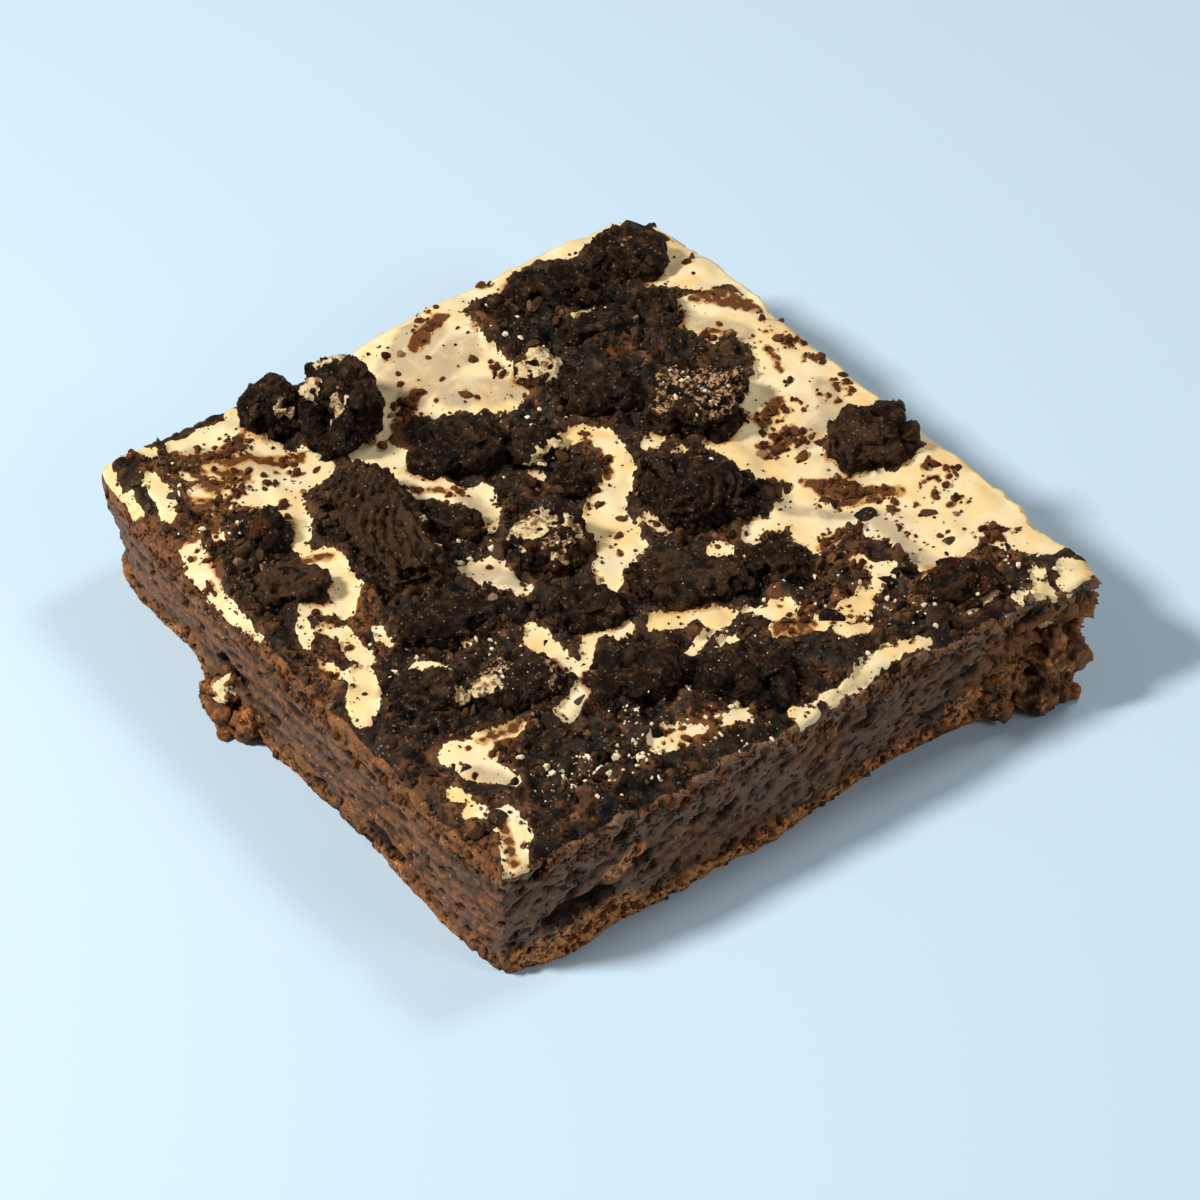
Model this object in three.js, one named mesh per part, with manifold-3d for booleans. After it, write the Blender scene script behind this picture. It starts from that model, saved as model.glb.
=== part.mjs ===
// A square of chocolate brownie with a layer of baked cream, and broken chocolate biscuit pressed
// into it. Millimetres, +Z up. The origin is at the middle of the underside, and the two cut faces
// that meet at the front corner face -X and -Y.
import * as THREE from "three";
import { mergeVertices } from "three/addons/utils/BufferGeometryUtils.js";
import Module from "manifold-3d";

// The square
const SIDE = 87.4; // from cut face to cut face
const BASE_HEIGHT = 13.9; // the brownie under the cream
const CREAM_TOP = 17.2; // the cream's level surface, before its swells
const CORNER_PULL = 0.03; // share of half a side by which the corners are rounded in
const SEAM_WAVE = 0.45; // how far the seam under the cream wanders up and down
const CREAM_RIPPLE = 0.35; // how far the level surface does
const FACE_RIPPLE = 0.35; // how far the cut faces wander in and out
const RIM_WORN = 0.5; // how much the cream's upper edge is rounded off
const FIT_GAP = 0.3; // air left between two pieces that touch

// How finely the two layers are meshed
const CELLS = 15; // along each side
const BASE_RINGS = 3;
const CREAM_RINGS = 1;
const RIM_POWER = 12; // the higher, the narrower the band that a cut face's relief bends

// Broken biscuit
const PIECE_CORNERS = 9;
const SQUARENESS = 3.2; // 2 would be an ellipse, more is blockier
const RAGGED = 0.09; // how uneven a broken edge is, as a share of its radius
const SOFTENED = 0.24; // share of the thickness that is worn off at each rim
const KNOCKED = 0.05; // how far a corner is out of true, as a share of the thickness
const LEAST_CREAM = 0.8; // cream left under the deepest piece
const POCKET_GAP = 0.42; // how far a pocket's corners stand off, so that its faces clear FIT_GAP

// Crumbs
const CRUMB_RADIUS = [1.3, 2.2]; // least and greatest
const CRUMB_SHAPE = [1.15, 0.9, 0.8];
const CRUMB_UNEVEN = 0.14; // how far a crumb's corner is out of true, as a share of its radius
const CRUMB_RAISED = 0.25; // how high its middle lies over the surface, likewise

const COLOURS = {
  base: 0x2b1a12,
  cream: 0xf0e2bb,
  biscuit: 0x1e1815,
};

// Swells and hollows of the cream: centre, half widths, turn in degrees and height
const SWELLS = [
  { at: [7, 38], half: [10, 11], turn: -10, height: 3.1 },
  { at: [-9, 45], half: [6, 6], turn: 0, height: -1.2 },
  { at: [30, 44], half: [13, 6], turn: 0, height: 3.2 },
  { at: [41, 22], half: [9, 12], turn: 0, height: 1.7 },
  { at: [42, -22], half: [8, 14], turn: 0, height: 1.3 },
  { at: [29, -3], half: [6, 12], turn: -15, height: -0.8 },
  { at: [-40, 41], half: [6, 6], turn: 25, height: 1.5 },
  { at: [-22, 30], half: [6, 9], turn: -30, height: -1.1 },
  { at: [22, 26], half: [13, 12], turn: 0, height: 1.2 },
  { at: [-30, -2], half: [8, 9], turn: 0, height: -0.6 },
  { at: [-20, -28], half: [18, 11], turn: -30, height: 0.9 },
  { at: [12, -32], half: [18, 8], turn: -5, height: 0.7 },
];

// Crumbs pressed together stand above the cream: the middle of each bed, its half widths and how
// many of its crumbs are large
const CRUMB_BEDS = [
  { at: [-25, -31], half: [16, 11], count: 14 },
  { at: [8, -33], half: [20, 8], count: 11 },
  { at: [30, -30], half: [10, 10], count: 7 },
  { at: [-36, 28], half: [6, 13], count: 6 },
  { at: [17, 29], half: [12, 11], count: 5 },
  { at: [-18, -7], half: [11, 12], count: 5 },
];

// Crumbly lumps that the knife left hanging on the base: middle and radius
const LUMPS = [
  { at: [42.9, -41.4, 10.6], radius: 3.7 },
  { at: [40.4, -43.2, 7.9], radius: 3.7 },
  { at: [37.3, -44.4, 3.2], radius: 3.3 },
  { at: [33.6, -44.4, 2.2], radius: 2.7 },
  { at: [29.8, -43.0, 2.0], radius: 2.3 },
  { at: [35.6, -43.0, 8.6], radius: 4.0 },
  { at: [30.8, -42.8, 6.6], radius: 3.0 },
  { at: [-45.4, 14.4, 1.7], radius: 1.9 },
  { at: [-46.0, 11.0, 1.5], radius: 2.1 },
  { at: [-44.9, 8.0, 1.6], radius: 1.8 },
  { at: [-44.3, 12.4, 3.9], radius: 1.9 },
];

// Where the cut faces stand out of or fall behind the flat cut: a place, its reach and the push
const BULGES = [
  { at: [-44, 41, 3], reach: 11, push: -1.7 },
  { at: [-44, 27, 0], reach: 13, push: -1.7 },
  { at: [-44, -18, 0], reach: 17, push: -0.8 },
  { at: [16, -44, 0], reach: 22, push: -1.9 },
  { at: [-36, -44, 0], reach: 10, push: 0.4 },
  { at: [44, -44, 15], reach: 9, push: 2.9 },
  { at: [44, 44, 16], reach: 9, push: -1.2 },
];

// Every broken piece of biscuit: its middle, its length, width and thickness, how far it stands
// out of the level cream, its turn about the vertical, its lean along and across, and the share
// by which its far end is narrower
const PIECES = [
  { at: [-14.4, 31.6], size: [12.5, 10.0, 10.5], stands: 8.8, turn: 62, lean: [-10, 6] },
  { at: [-20.0, 38.6], size: [8.0, 7.0, 7.5], stands: 4.8, turn: 10, lean: [8, -8] },
  { at: [-6.2, 18.4], size: [11.5, 9.6, 6.5], stands: 4.1, turn: -20, lean: [4, -4] },
  { at: [-21.4, 10.8], size: [22.5, 9.6, 5.2], stands: 3.9, turn: 78, lean: [2, -10], taper: 0.3 },
  { at: [-6.8, -2.4], size: [10.6, 9.8, 6.8], stands: 4.2, turn: 35, lean: [5, 5] },
  { at: [1.8, 13.4], size: [8.0, 6.6, 5.2], stands: 2.6, turn: -35, lean: [0, 8] },
  { at: [2.2, 5.2], size: [5.8, 5.0, 4.4], stands: 2.5, turn: 20, lean: [4, 0] },
  { at: [23.2, 8.0], size: [14.0, 12.5, 7.0], stands: 4.6, turn: -52, lean: [3, -4] },
  { at: [22.0, 36.2], size: [12.5, 7.0, 6.0], stands: 4.6, turn: -34, lean: [2, 6] },
  { at: [34.0, 36.6], size: [10.0, 8.0, 5.8], stands: 4.7, turn: -50, lean: [-3, 4] },
  { at: [30.2, 24.8], size: [7.0, 5.8, 5.6], stands: 3.8, turn: 70, lean: [8, 0] },
  { at: [11.4, 34.6], size: [7.2, 5.2, 5.0], stands: 3.8, turn: -40, lean: [0, 6] },
  { at: [21.4, 27.0], size: [9.0, 6.0, 5.2], stands: 3.8, turn: -30, lean: [0, 8] },
  { at: [14.6, 16.4], size: [9.5, 7.8, 5.2], stands: 3.4, turn: -30, lean: [-4, 4] },
  { at: [11.0, 24.6], size: [7.0, 6.0, 5.0], stands: 3.4, turn: 45, lean: [5, 6] },
  { at: [12.8, -6.6], size: [14.0, 10.5, 6.4], stands: 4.0, turn: -42, lean: [2, -5] },
  { at: [2.2, -18.0], size: [15.0, 8.4, 5.4], stands: 3.3, turn: -42, lean: [0, -6] },
  { at: [36.0, -10.8], size: [11.0, 10.2, 6.8], stands: 4.9, turn: -30, lean: [4, 5] },
  { at: [12.6, -21.4], size: [6.8, 6.2, 5.2], stands: 3.0, turn: 30, lean: [0, 0] },
  { at: [-12.8, -27.8], size: [12.0, 10.4, 6.6], stands: 3.8, turn: -30, lean: [3, -4] },
  { at: [-2.4, -35.0], size: [12.5, 9.0, 6.4], stands: 3.6, turn: -25, lean: [3, -5] },
  { at: [-24.4, -6.8], size: [12.0, 7.2, 5.6], stands: 3.0, turn: -28, lean: [2, -6] },
  { at: [-33.0, -15.0], size: [10.0, 7.2, 5.4], stands: 2.8, turn: -35, lean: [0, 4] },
  { at: [-24.2, -20.4], size: [11.0, 8.4, 5.8], stands: 3.4, turn: -30, lean: [3, -3] },
  { at: [-33.0, 19.8], size: [6.6, 6.0, 5.0], stands: 2.9, turn: 30, lean: [0, 5] },
  { at: [-35.6, 9.8], size: [8.6, 6.2, 5.2], stands: 2.9, turn: -35, lean: [3, -6] },
  { at: [-13.6, 7.4], size: [6.6, 5.4, 4.8], stands: 2.3, turn: -25, lean: [0, 4] },
  { at: [-10.4, -14.6], size: [9.0, 6.6, 5.0], stands: 2.8, turn: -25, lean: [0, -4] },
  { at: [28.0, -37.0], size: [11.0, 7.6, 5.4], stands: 2.4, turn: -28, lean: [2, -5] },
];

const wasm = await Module();
wasm.setup();

// Repeatable random numbers from 0 to 1
function seeded(seed) {
  let state = seed >>> 0;
  return () => {
    state = (state + 0x6d2b79f5) >>> 0;
    let t = Math.imul(state ^ (state >>> 15), 1 | state);
    t = (t + Math.imul(t ^ (t >>> 7), 61 | t)) ^ t;
    return ((t ^ (t >>> 14)) >>> 0) / 4294967296;
  };
}

// A smooth uneven wave of about -1 to 1, for the slow wandering of a surface
function wander(x, y, length) {
  const k = (2 * Math.PI) / length;
  return (
    0.5 * Math.sin(k * (x + 0.4 * y) + 0.7) +
    0.3 * Math.sin(k * 1.7 * (y - 0.3 * x) + 2.1) +
    0.2 * Math.sin(k * 2.9 * (x + y) + 4.4)
  );
}

// Height of the seam between the base and the cream
function seamHeight(x, y) {
  return BASE_HEIGHT + SEAM_WAVE * wander(x, y, 46);
}

// Height of the cream's upper surface
function creamHeight(x, y) {
  let z = CREAM_TOP + CREAM_RIPPLE * wander(x + 9, y - 4, 21);
  for (const { at, half, turn, height } of SWELLS) {
    const angle = THREE.MathUtils.degToRad(turn);
    const dx = x - at[0];
    const dy = y - at[1];
    const u = (dx * Math.cos(angle) + dy * Math.sin(angle)) / half[0];
    const v = (dy * Math.cos(angle) - dx * Math.sin(angle)) / half[1];
    z += height * Math.exp(-(u * u + v * v));
  }
  return z;
}

// How far a point of a cut face lies outside the flat cut
function faceRelief(x, y, z) {
  let out = FACE_RIPPLE * wander(x + y, 2.5 * z + x - y, 19);
  for (const { at, reach, push } of BULGES) {
    const d = Math.hypot(x - at[0], y - at[1], z - at[2]) / reach;
    if (d < 1) out += push * (1 - d * d) ** 2;
  }
  return out;
}

// A layer of the square: the grid of a box, bent to the outline, to the relief of the cut faces
// and to the heights below and above it
function layer(lower, upper, rings, worn) {
  const geometry = new THREE.BoxGeometry(2, 2, 1, CELLS, CELLS, rings);
  const point = geometry.getAttribute("position");
  for (let i = 0; i < point.count; i++) {
    const u = point.getX(i);
    const v = point.getY(i);
    const share = point.getZ(i) + 0.5;
    const x = (SIDE / 2) * u * (1 - CORNER_PULL * v ** 8);
    const y = (SIDE / 2) * v * (1 - CORNER_PULL * u ** 8);
    const rim = Math.max(Math.abs(u), Math.abs(v)) ** RIM_POWER;
    const low = lower(x, y);
    const high = upper(x, y) - worn * rim;
    const z = low + (high - low) * share;
    const out = rim * (faceRelief(x, y, z) - (share === 1 ? worn : 0));
    const away = Math.hypot(u ** 9, v ** 9) || 1;
    point.setXYZ(i, x + (out * u ** 9) / away, y + (out * v ** 9) / away, z);
  }
  return geometry;
}

// A broken piece: a ragged plate with worn rims, every corner a little out of true
function biscuit({ size: [length, width, thickness], taper = 0 }, random) {
  const worn = SOFTENED * thickness;
  const outline = new THREE.Shape();
  for (let i = 0; i < PIECE_CORNERS; i++) {
    const angle = ((i + 0.5 * (random() - 0.5)) / PIECE_CORNERS) * 2 * Math.PI;
    const c = Math.cos(angle);
    const s = Math.sin(angle);
    const square = (Math.abs(c) ** SQUARENESS + Math.abs(s) ** SQUARENESS) ** (-1 / SQUARENESS);
    const reach = square * (1 + RAGGED * (2 * random() - 1));
    const x = c * reach * (length / 2 - worn);
    const y = s * reach * (width / 2 - worn) * (1 - taper * c);
    if (i === 0) outline.moveTo(x, y);
    else outline.lineTo(x, y);
  }
  outline.closePath();
  const geometry = new THREE.ExtrudeGeometry(outline, {
    depth: thickness - 2 * worn,
    bevelEnabled: true,
    bevelThickness: worn,
    bevelSize: worn,
    bevelSegments: 1,
  });
  geometry.translate(0, 0, worn - thickness / 2);
  return jittered(merged(geometry), KNOCKED * thickness, random);
}

// A crumb: a small knobbly stone
function crumb(radius, random) {
  const geometry = new THREE.IcosahedronGeometry(radius, 0);
  geometry.scale(...CRUMB_SHAPE);
  geometry.rotateZ(random() * 2 * Math.PI);
  return jittered(merged(geometry), CRUMB_UNEVEN * radius, random);
}

// The geometry with only its positions, and its shared corners merged
function merged(geometry) {
  const bare = geometry.clone();
  bare.deleteAttribute("normal");
  bare.deleteAttribute("uv");
  return mergeVertices(bare, 1e-4);
}

function jittered(geometry, amount, random) {
  const point = geometry.getAttribute("position");
  for (let i = 0; i < point.array.length; i++) {
    point.array[i] += amount * (2 * random() - 1);
  }
  return geometry;
}

// The same shape with its corners moved out by a gap
function grown(geometry, gap) {
  const bigger = geometry.clone();
  bigger.computeVertexNormals();
  const point = bigger.getAttribute("position");
  const normal = bigger.getAttribute("normal");
  for (let i = 0; i < point.array.length; i++) {
    point.array[i] += gap * normal.array[i];
  }
  return bigger;
}

function solid(geometry) {
  const { attributes, index } = merged(geometry);
  return new wasm.Manifold(
    new wasm.Mesh({
      numProp: 3,
      vertProperties: new Float32Array(attributes.position.array),
      triVerts: new Uint32Array(index.array),
    }),
  );
}

// Everything below a height
function below(z) {
  return solid(new THREE.BoxGeometry(2 * SIDE, 2 * SIDE, 2 * z));
}

// The largest body of a solid, without the scraps that a cut leaves
function whole(manifold) {
  const bodies = manifold.decompose();
  return bodies.reduce((most, body) => (body.volume() > most.volume() ? body : most));
}

// A named mesh of a solid, placed at its own middle
function placed(name, manifold, material, [x, y, z]) {
  const { numProp, vertProperties, triVerts } = manifold.getMesh();
  const position = new Float32Array((vertProperties.length / numProp) * 3);
  for (let i = 0; i < position.length / 3; i++) {
    position.set(vertProperties.subarray(i * numProp, i * numProp + 3), i * 3);
  }
  const geometry = new THREE.BufferGeometry();
  geometry.setAttribute("position", new THREE.BufferAttribute(position, 3));
  geometry.setIndex(new THREE.BufferAttribute(new Uint32Array(triVerts), 1));
  geometry.translate(-x, -y, -z);
  geometry.computeVertexNormals();
  const mesh = new THREE.Mesh(geometry, material);
  mesh.name = name;
  mesh.position.set(x, y, z);
  return mesh;
}

// The base, with the lumps fused to its cut faces and its underside cut flat
function makeBase() {
  const random = seeded(11);
  let base = solid(layer(() => 0, seamHeight, BASE_RINGS, 0));
  for (const { at, radius } of LUMPS) {
    base = base.add(solid(crumb(radius, random).translate(...at)));
  }
  const table = new THREE.BoxGeometry(2 * SIDE, 2 * SIDE, BASE_HEIGHT);
  return base.subtract(solid(table.translate(0, 0, -BASE_HEIGHT / 2)));
}

// The pieces of biscuit, each cut back where an earlier one or the deepest level is in its way,
// with the pocket that each of them needs in the cream
function layPieces() {
  const deepest = BASE_HEIGHT + SEAM_WAVE + FIT_GAP + LEAST_CREAM;
  const floor = below(deepest);
  const pocketFloor = below(deepest - FIT_GAP);
  const laid = [];
  PIECES.forEach((piece, i) => {
    const middle = [...piece.at, CREAM_TOP + piece.stands - piece.size[2] / 2];
    const [along, across] = piece.lean.map(THREE.MathUtils.degToRad);
    const turn = THREE.MathUtils.degToRad(piece.turn);
    const pose = new THREE.Matrix4().makeRotationFromEuler(
      new THREE.Euler(across, -along, turn, "ZYX"),
    );
    pose.setPosition(...middle);
    const shape = biscuit(piece, seeded(101 + 7 * i));
    const pocket = solid(grown(shape, POCKET_GAP).applyMatrix4(pose)).subtract(pocketFloor);
    let body = solid(shape.applyMatrix4(pose)).subtract(floor);
    for (const earlier of laid) body = body.subtract(earlier.pocket);
    laid.push({ body: whole(body), pocket, middle });
  });
  return laid;
}

// The cream, with its large crumbs fused on and the pockets cut out
function makeCream(pieces) {
  const random = seeded(2024);
  const floor = (x, y) => seamHeight(x, y) + FIT_GAP;
  let cream = solid(layer(floor, creamHeight, CREAM_RINGS, RIM_WORN));
  for (const { at, half, count } of CRUMB_BEDS) {
    for (let i = 0; i < count; i++) {
      const angle = i * Math.PI * (3 - Math.sqrt(5));
      const reach = Math.sqrt((i + 0.5) / count);
      const x = at[0] + half[0] * reach * Math.cos(angle);
      const y = at[1] + half[1] * reach * Math.sin(angle);
      const radius = THREE.MathUtils.lerp(...CRUMB_RADIUS, random());
      const stone = crumb(radius, random);
      const inside = Math.max(Math.abs(x), Math.abs(y)) < SIDE / 2 - radius;
      if (inside) {
        stone.translate(x, y, creamHeight(x, y) + CRUMB_RAISED * radius);
        cream = cream.add(solid(stone));
      }
    }
  }
  for (const { pocket } of pieces) cream = cream.subtract(pocket);
  return cream;
}

const baseMaterial = new THREE.MeshStandardMaterial({ color: COLOURS.base, roughness: 0.62 });
const creamMaterial = new THREE.MeshStandardMaterial({ color: COLOURS.cream, roughness: 0.38 });
const biscuitMaterial = new THREE.MeshStandardMaterial({ color: COLOURS.biscuit, roughness: 0.8 });

const pieces = layPieces();
const brownie = new THREE.Group();
brownie.add(placed("brownie_base", whole(makeBase()), baseMaterial, [0, 0, 0]));
brownie.add(placed("cream_topping", whole(makeCream(pieces)), creamMaterial, [0, 0, CREAM_TOP]));
pieces.forEach(({ body, middle }, i) => {
  const name = `biscuit_piece_${String(i + 1).padStart(2, "0")}`;
  brownie.add(placed(name, body, biscuitMaterial, middle));
});

export default brownie;
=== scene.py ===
# %% [markdown]
# A square of chocolate brownie lies on its underside: a dense dark base, a layer of baked cream
# over it, and broken chocolate biscuit pressed into the cream. The solids give the true size and
# place of every piece. This lesson rebuilds each surface finely around them, in the same frame,
# and first loads them and keeps the box that the finished model must stay inside.

import math

import bmesh
import bpy
import numpy as np
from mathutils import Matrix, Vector
from mathutils.bvhtree import BVHTree


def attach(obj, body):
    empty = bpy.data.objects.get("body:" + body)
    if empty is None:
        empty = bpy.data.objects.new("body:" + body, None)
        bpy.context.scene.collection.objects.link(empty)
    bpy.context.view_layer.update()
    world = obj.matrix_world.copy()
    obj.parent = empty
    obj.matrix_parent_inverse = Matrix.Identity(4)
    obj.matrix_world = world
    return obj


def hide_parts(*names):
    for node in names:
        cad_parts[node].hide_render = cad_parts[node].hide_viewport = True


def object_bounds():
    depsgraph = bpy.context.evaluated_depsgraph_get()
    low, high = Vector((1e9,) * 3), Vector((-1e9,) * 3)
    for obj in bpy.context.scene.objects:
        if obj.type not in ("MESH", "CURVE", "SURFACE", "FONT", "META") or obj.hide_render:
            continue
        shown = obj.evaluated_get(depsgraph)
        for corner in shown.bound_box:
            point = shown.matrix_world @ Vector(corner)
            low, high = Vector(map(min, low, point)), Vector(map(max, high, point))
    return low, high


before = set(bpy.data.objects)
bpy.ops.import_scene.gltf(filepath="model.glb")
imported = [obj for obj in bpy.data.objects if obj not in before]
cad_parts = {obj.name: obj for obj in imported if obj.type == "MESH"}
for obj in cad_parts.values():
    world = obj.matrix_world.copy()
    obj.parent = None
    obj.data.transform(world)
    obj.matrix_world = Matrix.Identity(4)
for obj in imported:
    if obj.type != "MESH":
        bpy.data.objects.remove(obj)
solids_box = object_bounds()
MM = 0.001
BODY = "root"
print("solids:", len(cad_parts), "nodes, box", [[round(c / MM, 1) for c in p] for p in solids_box])

# %% [markdown]
# The picture looks down on the front corner from a little over forty degrees. A long lens half a
# metre away keeps the far edges nearly as long as the near ones, as in a product photograph.

# %% The camera
LOOKS_AT = Vector((4, 2, 0)) * MM
AZIMUTH = math.radians(-36.6)
ELEVATION = math.radians(42.2)
DISTANCE = 501 * MM
LENS = 120


def direction(azimuth, elevation):
    """The way from the object to a place that is seen at these angles; azimuth 0 is at -Y."""
    level = math.cos(elevation)
    return Vector((math.sin(azimuth) * level, -math.cos(azimuth) * level, math.sin(elevation)))


def aimed(thing, azimuth, elevation, distance):
    """Puts a camera or a lamp at these angles and turns it to the brownie."""
    way = direction(azimuth, elevation)
    thing.location = LOOKS_AT + way * distance
    thing.rotation_mode = "QUATERNION"
    thing.rotation_quaternion = (-way).to_track_quat("-Z", "Y")
    bpy.context.scene.collection.objects.link(thing)
    return thing


lens = bpy.data.cameras.new("camera")
lens.lens = LENS
lens.sensor_width = 36
lens.clip_start = 0.01
camera = aimed(bpy.data.objects.new("camera", lens), AZIMUTH, ELEVATION, DISTANCE)
bpy.context.scene.camera = camera
print("camera at", [round(c, 3) for c in camera.location])

# %% [markdown]
# A material is written as sums. This small class wraps a socket of a node, and an expression on
# it adds the Math nodes. Whatever isn't a sum of numbers comes from its one method, add.

# %% Sums of sockets


class Socket:
    """What a node gives out, in a material's tree. Python's operators on it add Math nodes."""

    def __init__(self, tree, output=None):
        self.tree = tree
        self.output = output

    def add(self, kind, settings, values, result=0):
        """A new node's output: settings are set first, then the values or links of its sockets."""
        node = self.tree.nodes.new(kind)
        for name, value in settings.items():
            setattr(node, name, value)
        for name, value in values.items():
            if isinstance(value, Socket):
                self.tree.links.new(value.output, node.inputs[name])
            else:
                node.inputs[name].default_value = value
        return Socket(self.tree, node.outputs[result])

    def math(self, operation, *values, clamp=False):
        settings = {"operation": operation, "use_clamp": clamp}
        return self.add("ShaderNodeMath", settings, dict(enumerate(values)))

    def __add__(self, other):
        return self.math("ADD", self, other)

    def __radd__(self, other):
        return self.math("ADD", other, self)

    def __sub__(self, other):
        return self.math("SUBTRACT", self, other)

    def __rsub__(self, other):
        return self.math("SUBTRACT", other, self)

    def __mul__(self, other):
        return self.math("MULTIPLY", self, other)

    def __rmul__(self, other):
        return self.math("MULTIPLY", other, self)

    def clipped(self):
        return self.math("ADD", self, 0, clamp=True)

    def over(self, low, high):
        """Rises smoothly from 0 where this is at low to 1 where it is at high."""
        values = {"Value": self, "From Min": low, "From Max": high}
        return self.add("ShaderNodeMapRange", {"interpolation_type": "SMOOTHSTEP"}, values)

    def mix(self, first, second):
        """The first colour where this is 0, the second where it is 1."""
        opaque = [v if isinstance(v, Socket) else (*v, 1) for v in (first, second)]
        values = {0: self, 6: opaque[0], 7: opaque[1]}
        return self.add("ShaderNodeMix", {"data_type": "RGBA"}, values, result=2)


# %% [markdown]
# Food has no straight threads or tiles, so its patterns all come from noise that is measured in
# millimetres on the object itself. A mark is a number kept on every vertex of a mesh, such as how
# much crumb lies on the cream there, and the materials read it by name.

# %% Patterns that the materials share


class Finish:
    """A material under way: its tree, its place in millimetres, and patterns over that place."""

    def __init__(self, name):
        self.material = bpy.data.materials.new(name)
        self.material.use_nodes = True
        self.tree = self.material.node_tree
        self.shader = self.tree.nodes["Principled BSDF"]
        self.start = Socket(self.tree)
        self.cell_nodes = {}
        place = self.start.add("ShaderNodeTexCoord", {}, {}, result="Object")
        scaled = {0: place, "Scale": 1 / MM}
        self.place = self.start.add("ShaderNodeVectorMath", {"operation": "SCALE"}, scaled)

    def mark(self, name):
        return self.start.add("ShaderNodeAttribute", {"attribute_name": name}, {}, result="Fac")

    def noise(self, size, detail=3.0, roughness=0.55, stretch=None):
        place = self.place
        if stretch:
            values = {0: place, 1: stretch}
            place = self.start.add("ShaderNodeVectorMath", {"operation": "MULTIPLY"}, values)
        values = {"Vector": place, "Scale": 1 / size, "Detail": detail, "Roughness": roughness}
        return self.start.add("ShaderNodeTexNoise", {}, values)

    def cells(self, size, result="Distance"):
        """Round cells of that size: how far their middle is, or a random colour for each."""
        if size not in self.cell_nodes:
            values = {"Vector": self.place, "Scale": 1 / size}
            self.cell_nodes[size] = self.start.add("ShaderNodeTexVoronoi", {}, values).output.node
        return Socket(self.tree, self.cell_nodes[size].outputs[result])

    def chance(self, size):
        """A random number for each cell."""
        return self.start.add("ShaderNodeSeparateColor", {}, {0: self.cells(size, "Color")})

    def specks(self, size, share, reach=0.45):
        """1 on a share of small round specks of that size, and 0 between them."""
        chosen = self.chance(size).over(1 - share, 1.02 - share)
        return chosen * (1 - self.cells(size).over(reach * 0.6, reach))

    def bump(self, height, depth):
        values = {"Height": height, "Distance": depth * MM, "Strength": 1}
        return self.start.add("ShaderNodeBump", {}, values)

    def set(self, **values):
        """Sets the shader's sockets; an underscore in a name stands for a space."""
        for name, value in values.items():
            socket = self.shader.inputs[name.replace("_", " ")]
            if isinstance(value, Socket):
                self.tree.links.new(value.output, socket)
            else:
                socket.default_value = value
        return self.material


# %% [markdown]
# The floor is pale and plain. A small warm lamp stands high at the left of the picture, so that
# each crumb throws a short shadow and the relief shows. A weaker one behind draws the rims of the
# biscuit, and a wide one at the right lights the cut face that is turned away from the first.

# %% Floor and lights
FLOOR_COLOUR = (0.515, 0.70, 0.90)
FLOOR_HALF = 1.5
FLOOR_BELOW = 0.1 * MM

# Each lamp: azimuth and elevation in degrees, distance and size in metres, power in watts, colour
LAMPS = {
    "key": (-112, 46, 0.7, 0.12, 5.6, (1, 0.93, 0.83)),
    "back": (95, 56, 0.8, 0.20, 1.7, (1, 0.94, 0.86)),
    "fill": (25, 32, 0.9, 0.30, 1.5, (1, 0.95, 0.88)),
}
SKY_COLOUR = (1.0, 0.97, 0.92)
SKY_STRENGTH = 0.14

floor_mesh = bpy.data.meshes.new("floor")
corners = [(-1, -1), (1, -1), (1, 1), (-1, 1)]
corners = [(FLOOR_HALF * x, FLOOR_HALF * y, -FLOOR_BELOW) for x, y in corners]
floor_mesh.from_pydata(corners, [], [(0, 1, 2, 3)])
floor = bpy.data.objects.new("floor", floor_mesh)
bpy.context.scene.collection.objects.link(floor)
floor_finish = Finish("floor")
floor_mesh.materials.append(floor_finish.set(Base_Color=(*FLOOR_COLOUR, 1), Roughness=0.9))

for name, (azimuth, elevation, distance, size, power, colour) in LAMPS.items():
    light = bpy.data.lights.new(name, "AREA")
    light.shape = "DISK"
    light.size = size
    light.energy = power
    light.color = colour
    lamp = bpy.data.objects.new(name, light)
    aimed(lamp, math.radians(azimuth), math.radians(elevation), distance)

sky = bpy.data.worlds.new("sky")
sky.use_nodes = True
sky.node_tree.nodes["Background"].inputs["Color"].default_value = (*SKY_COLOUR, 1)
sky.node_tree.nodes["Background"].inputs["Strength"].default_value = SKY_STRENGTH
bpy.context.scene.world = sky
bpy.context.scene.view_settings.view_transform = "Standard"
print("lamps:", ", ".join(LAMPS))

# %% [markdown]
# The same shapes as the solids, from the same named sizes. The two layers are the grid of a box
# that is bent to the outline of the square, to the wander of its cut faces and to its heights.

# %% Sizes that the solids have too, in millimetres
SIDE = 87.4
HALF = SIDE / 2
BASE_HEIGHT = 13.9
CREAM_TOP = 17.2
CORNER_PULL = 0.03
SEAM_WAVE = 0.45
CREAM_RIPPLE = 0.35
FACE_RIPPLE = 0.35
RIM_WORN = 0.5
RIM_POWER = 12
CRUMB_RADIUS = (1.3, 2.2)
CRUMB_SHAPE = (1.15, 0.9, 0.8)

# Swells and hollows of the cream: centre, half widths, turn in degrees and height
SWELLS = [
    (7, 38, 10, 11, -10, 3.1),
    (-9, 45, 6, 6, 0, -1.2),
    (30, 44, 13, 6, 0, 3.2),
    (41, 22, 9, 12, 0, 1.7),
    (42, -22, 8, 14, 0, 1.3),
    (29, -3, 6, 12, -15, -0.8),
    (-40, 41, 6, 6, 25, 1.5),
    (-22, 30, 6, 9, -30, -1.1),
    (22, 26, 13, 12, 0, 1.2),
    (-30, -2, 8, 9, 0, -0.6),
    (-20, -28, 18, 11, -30, 0.9),
    (12, -32, 18, 8, -5, 0.7),
]

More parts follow.
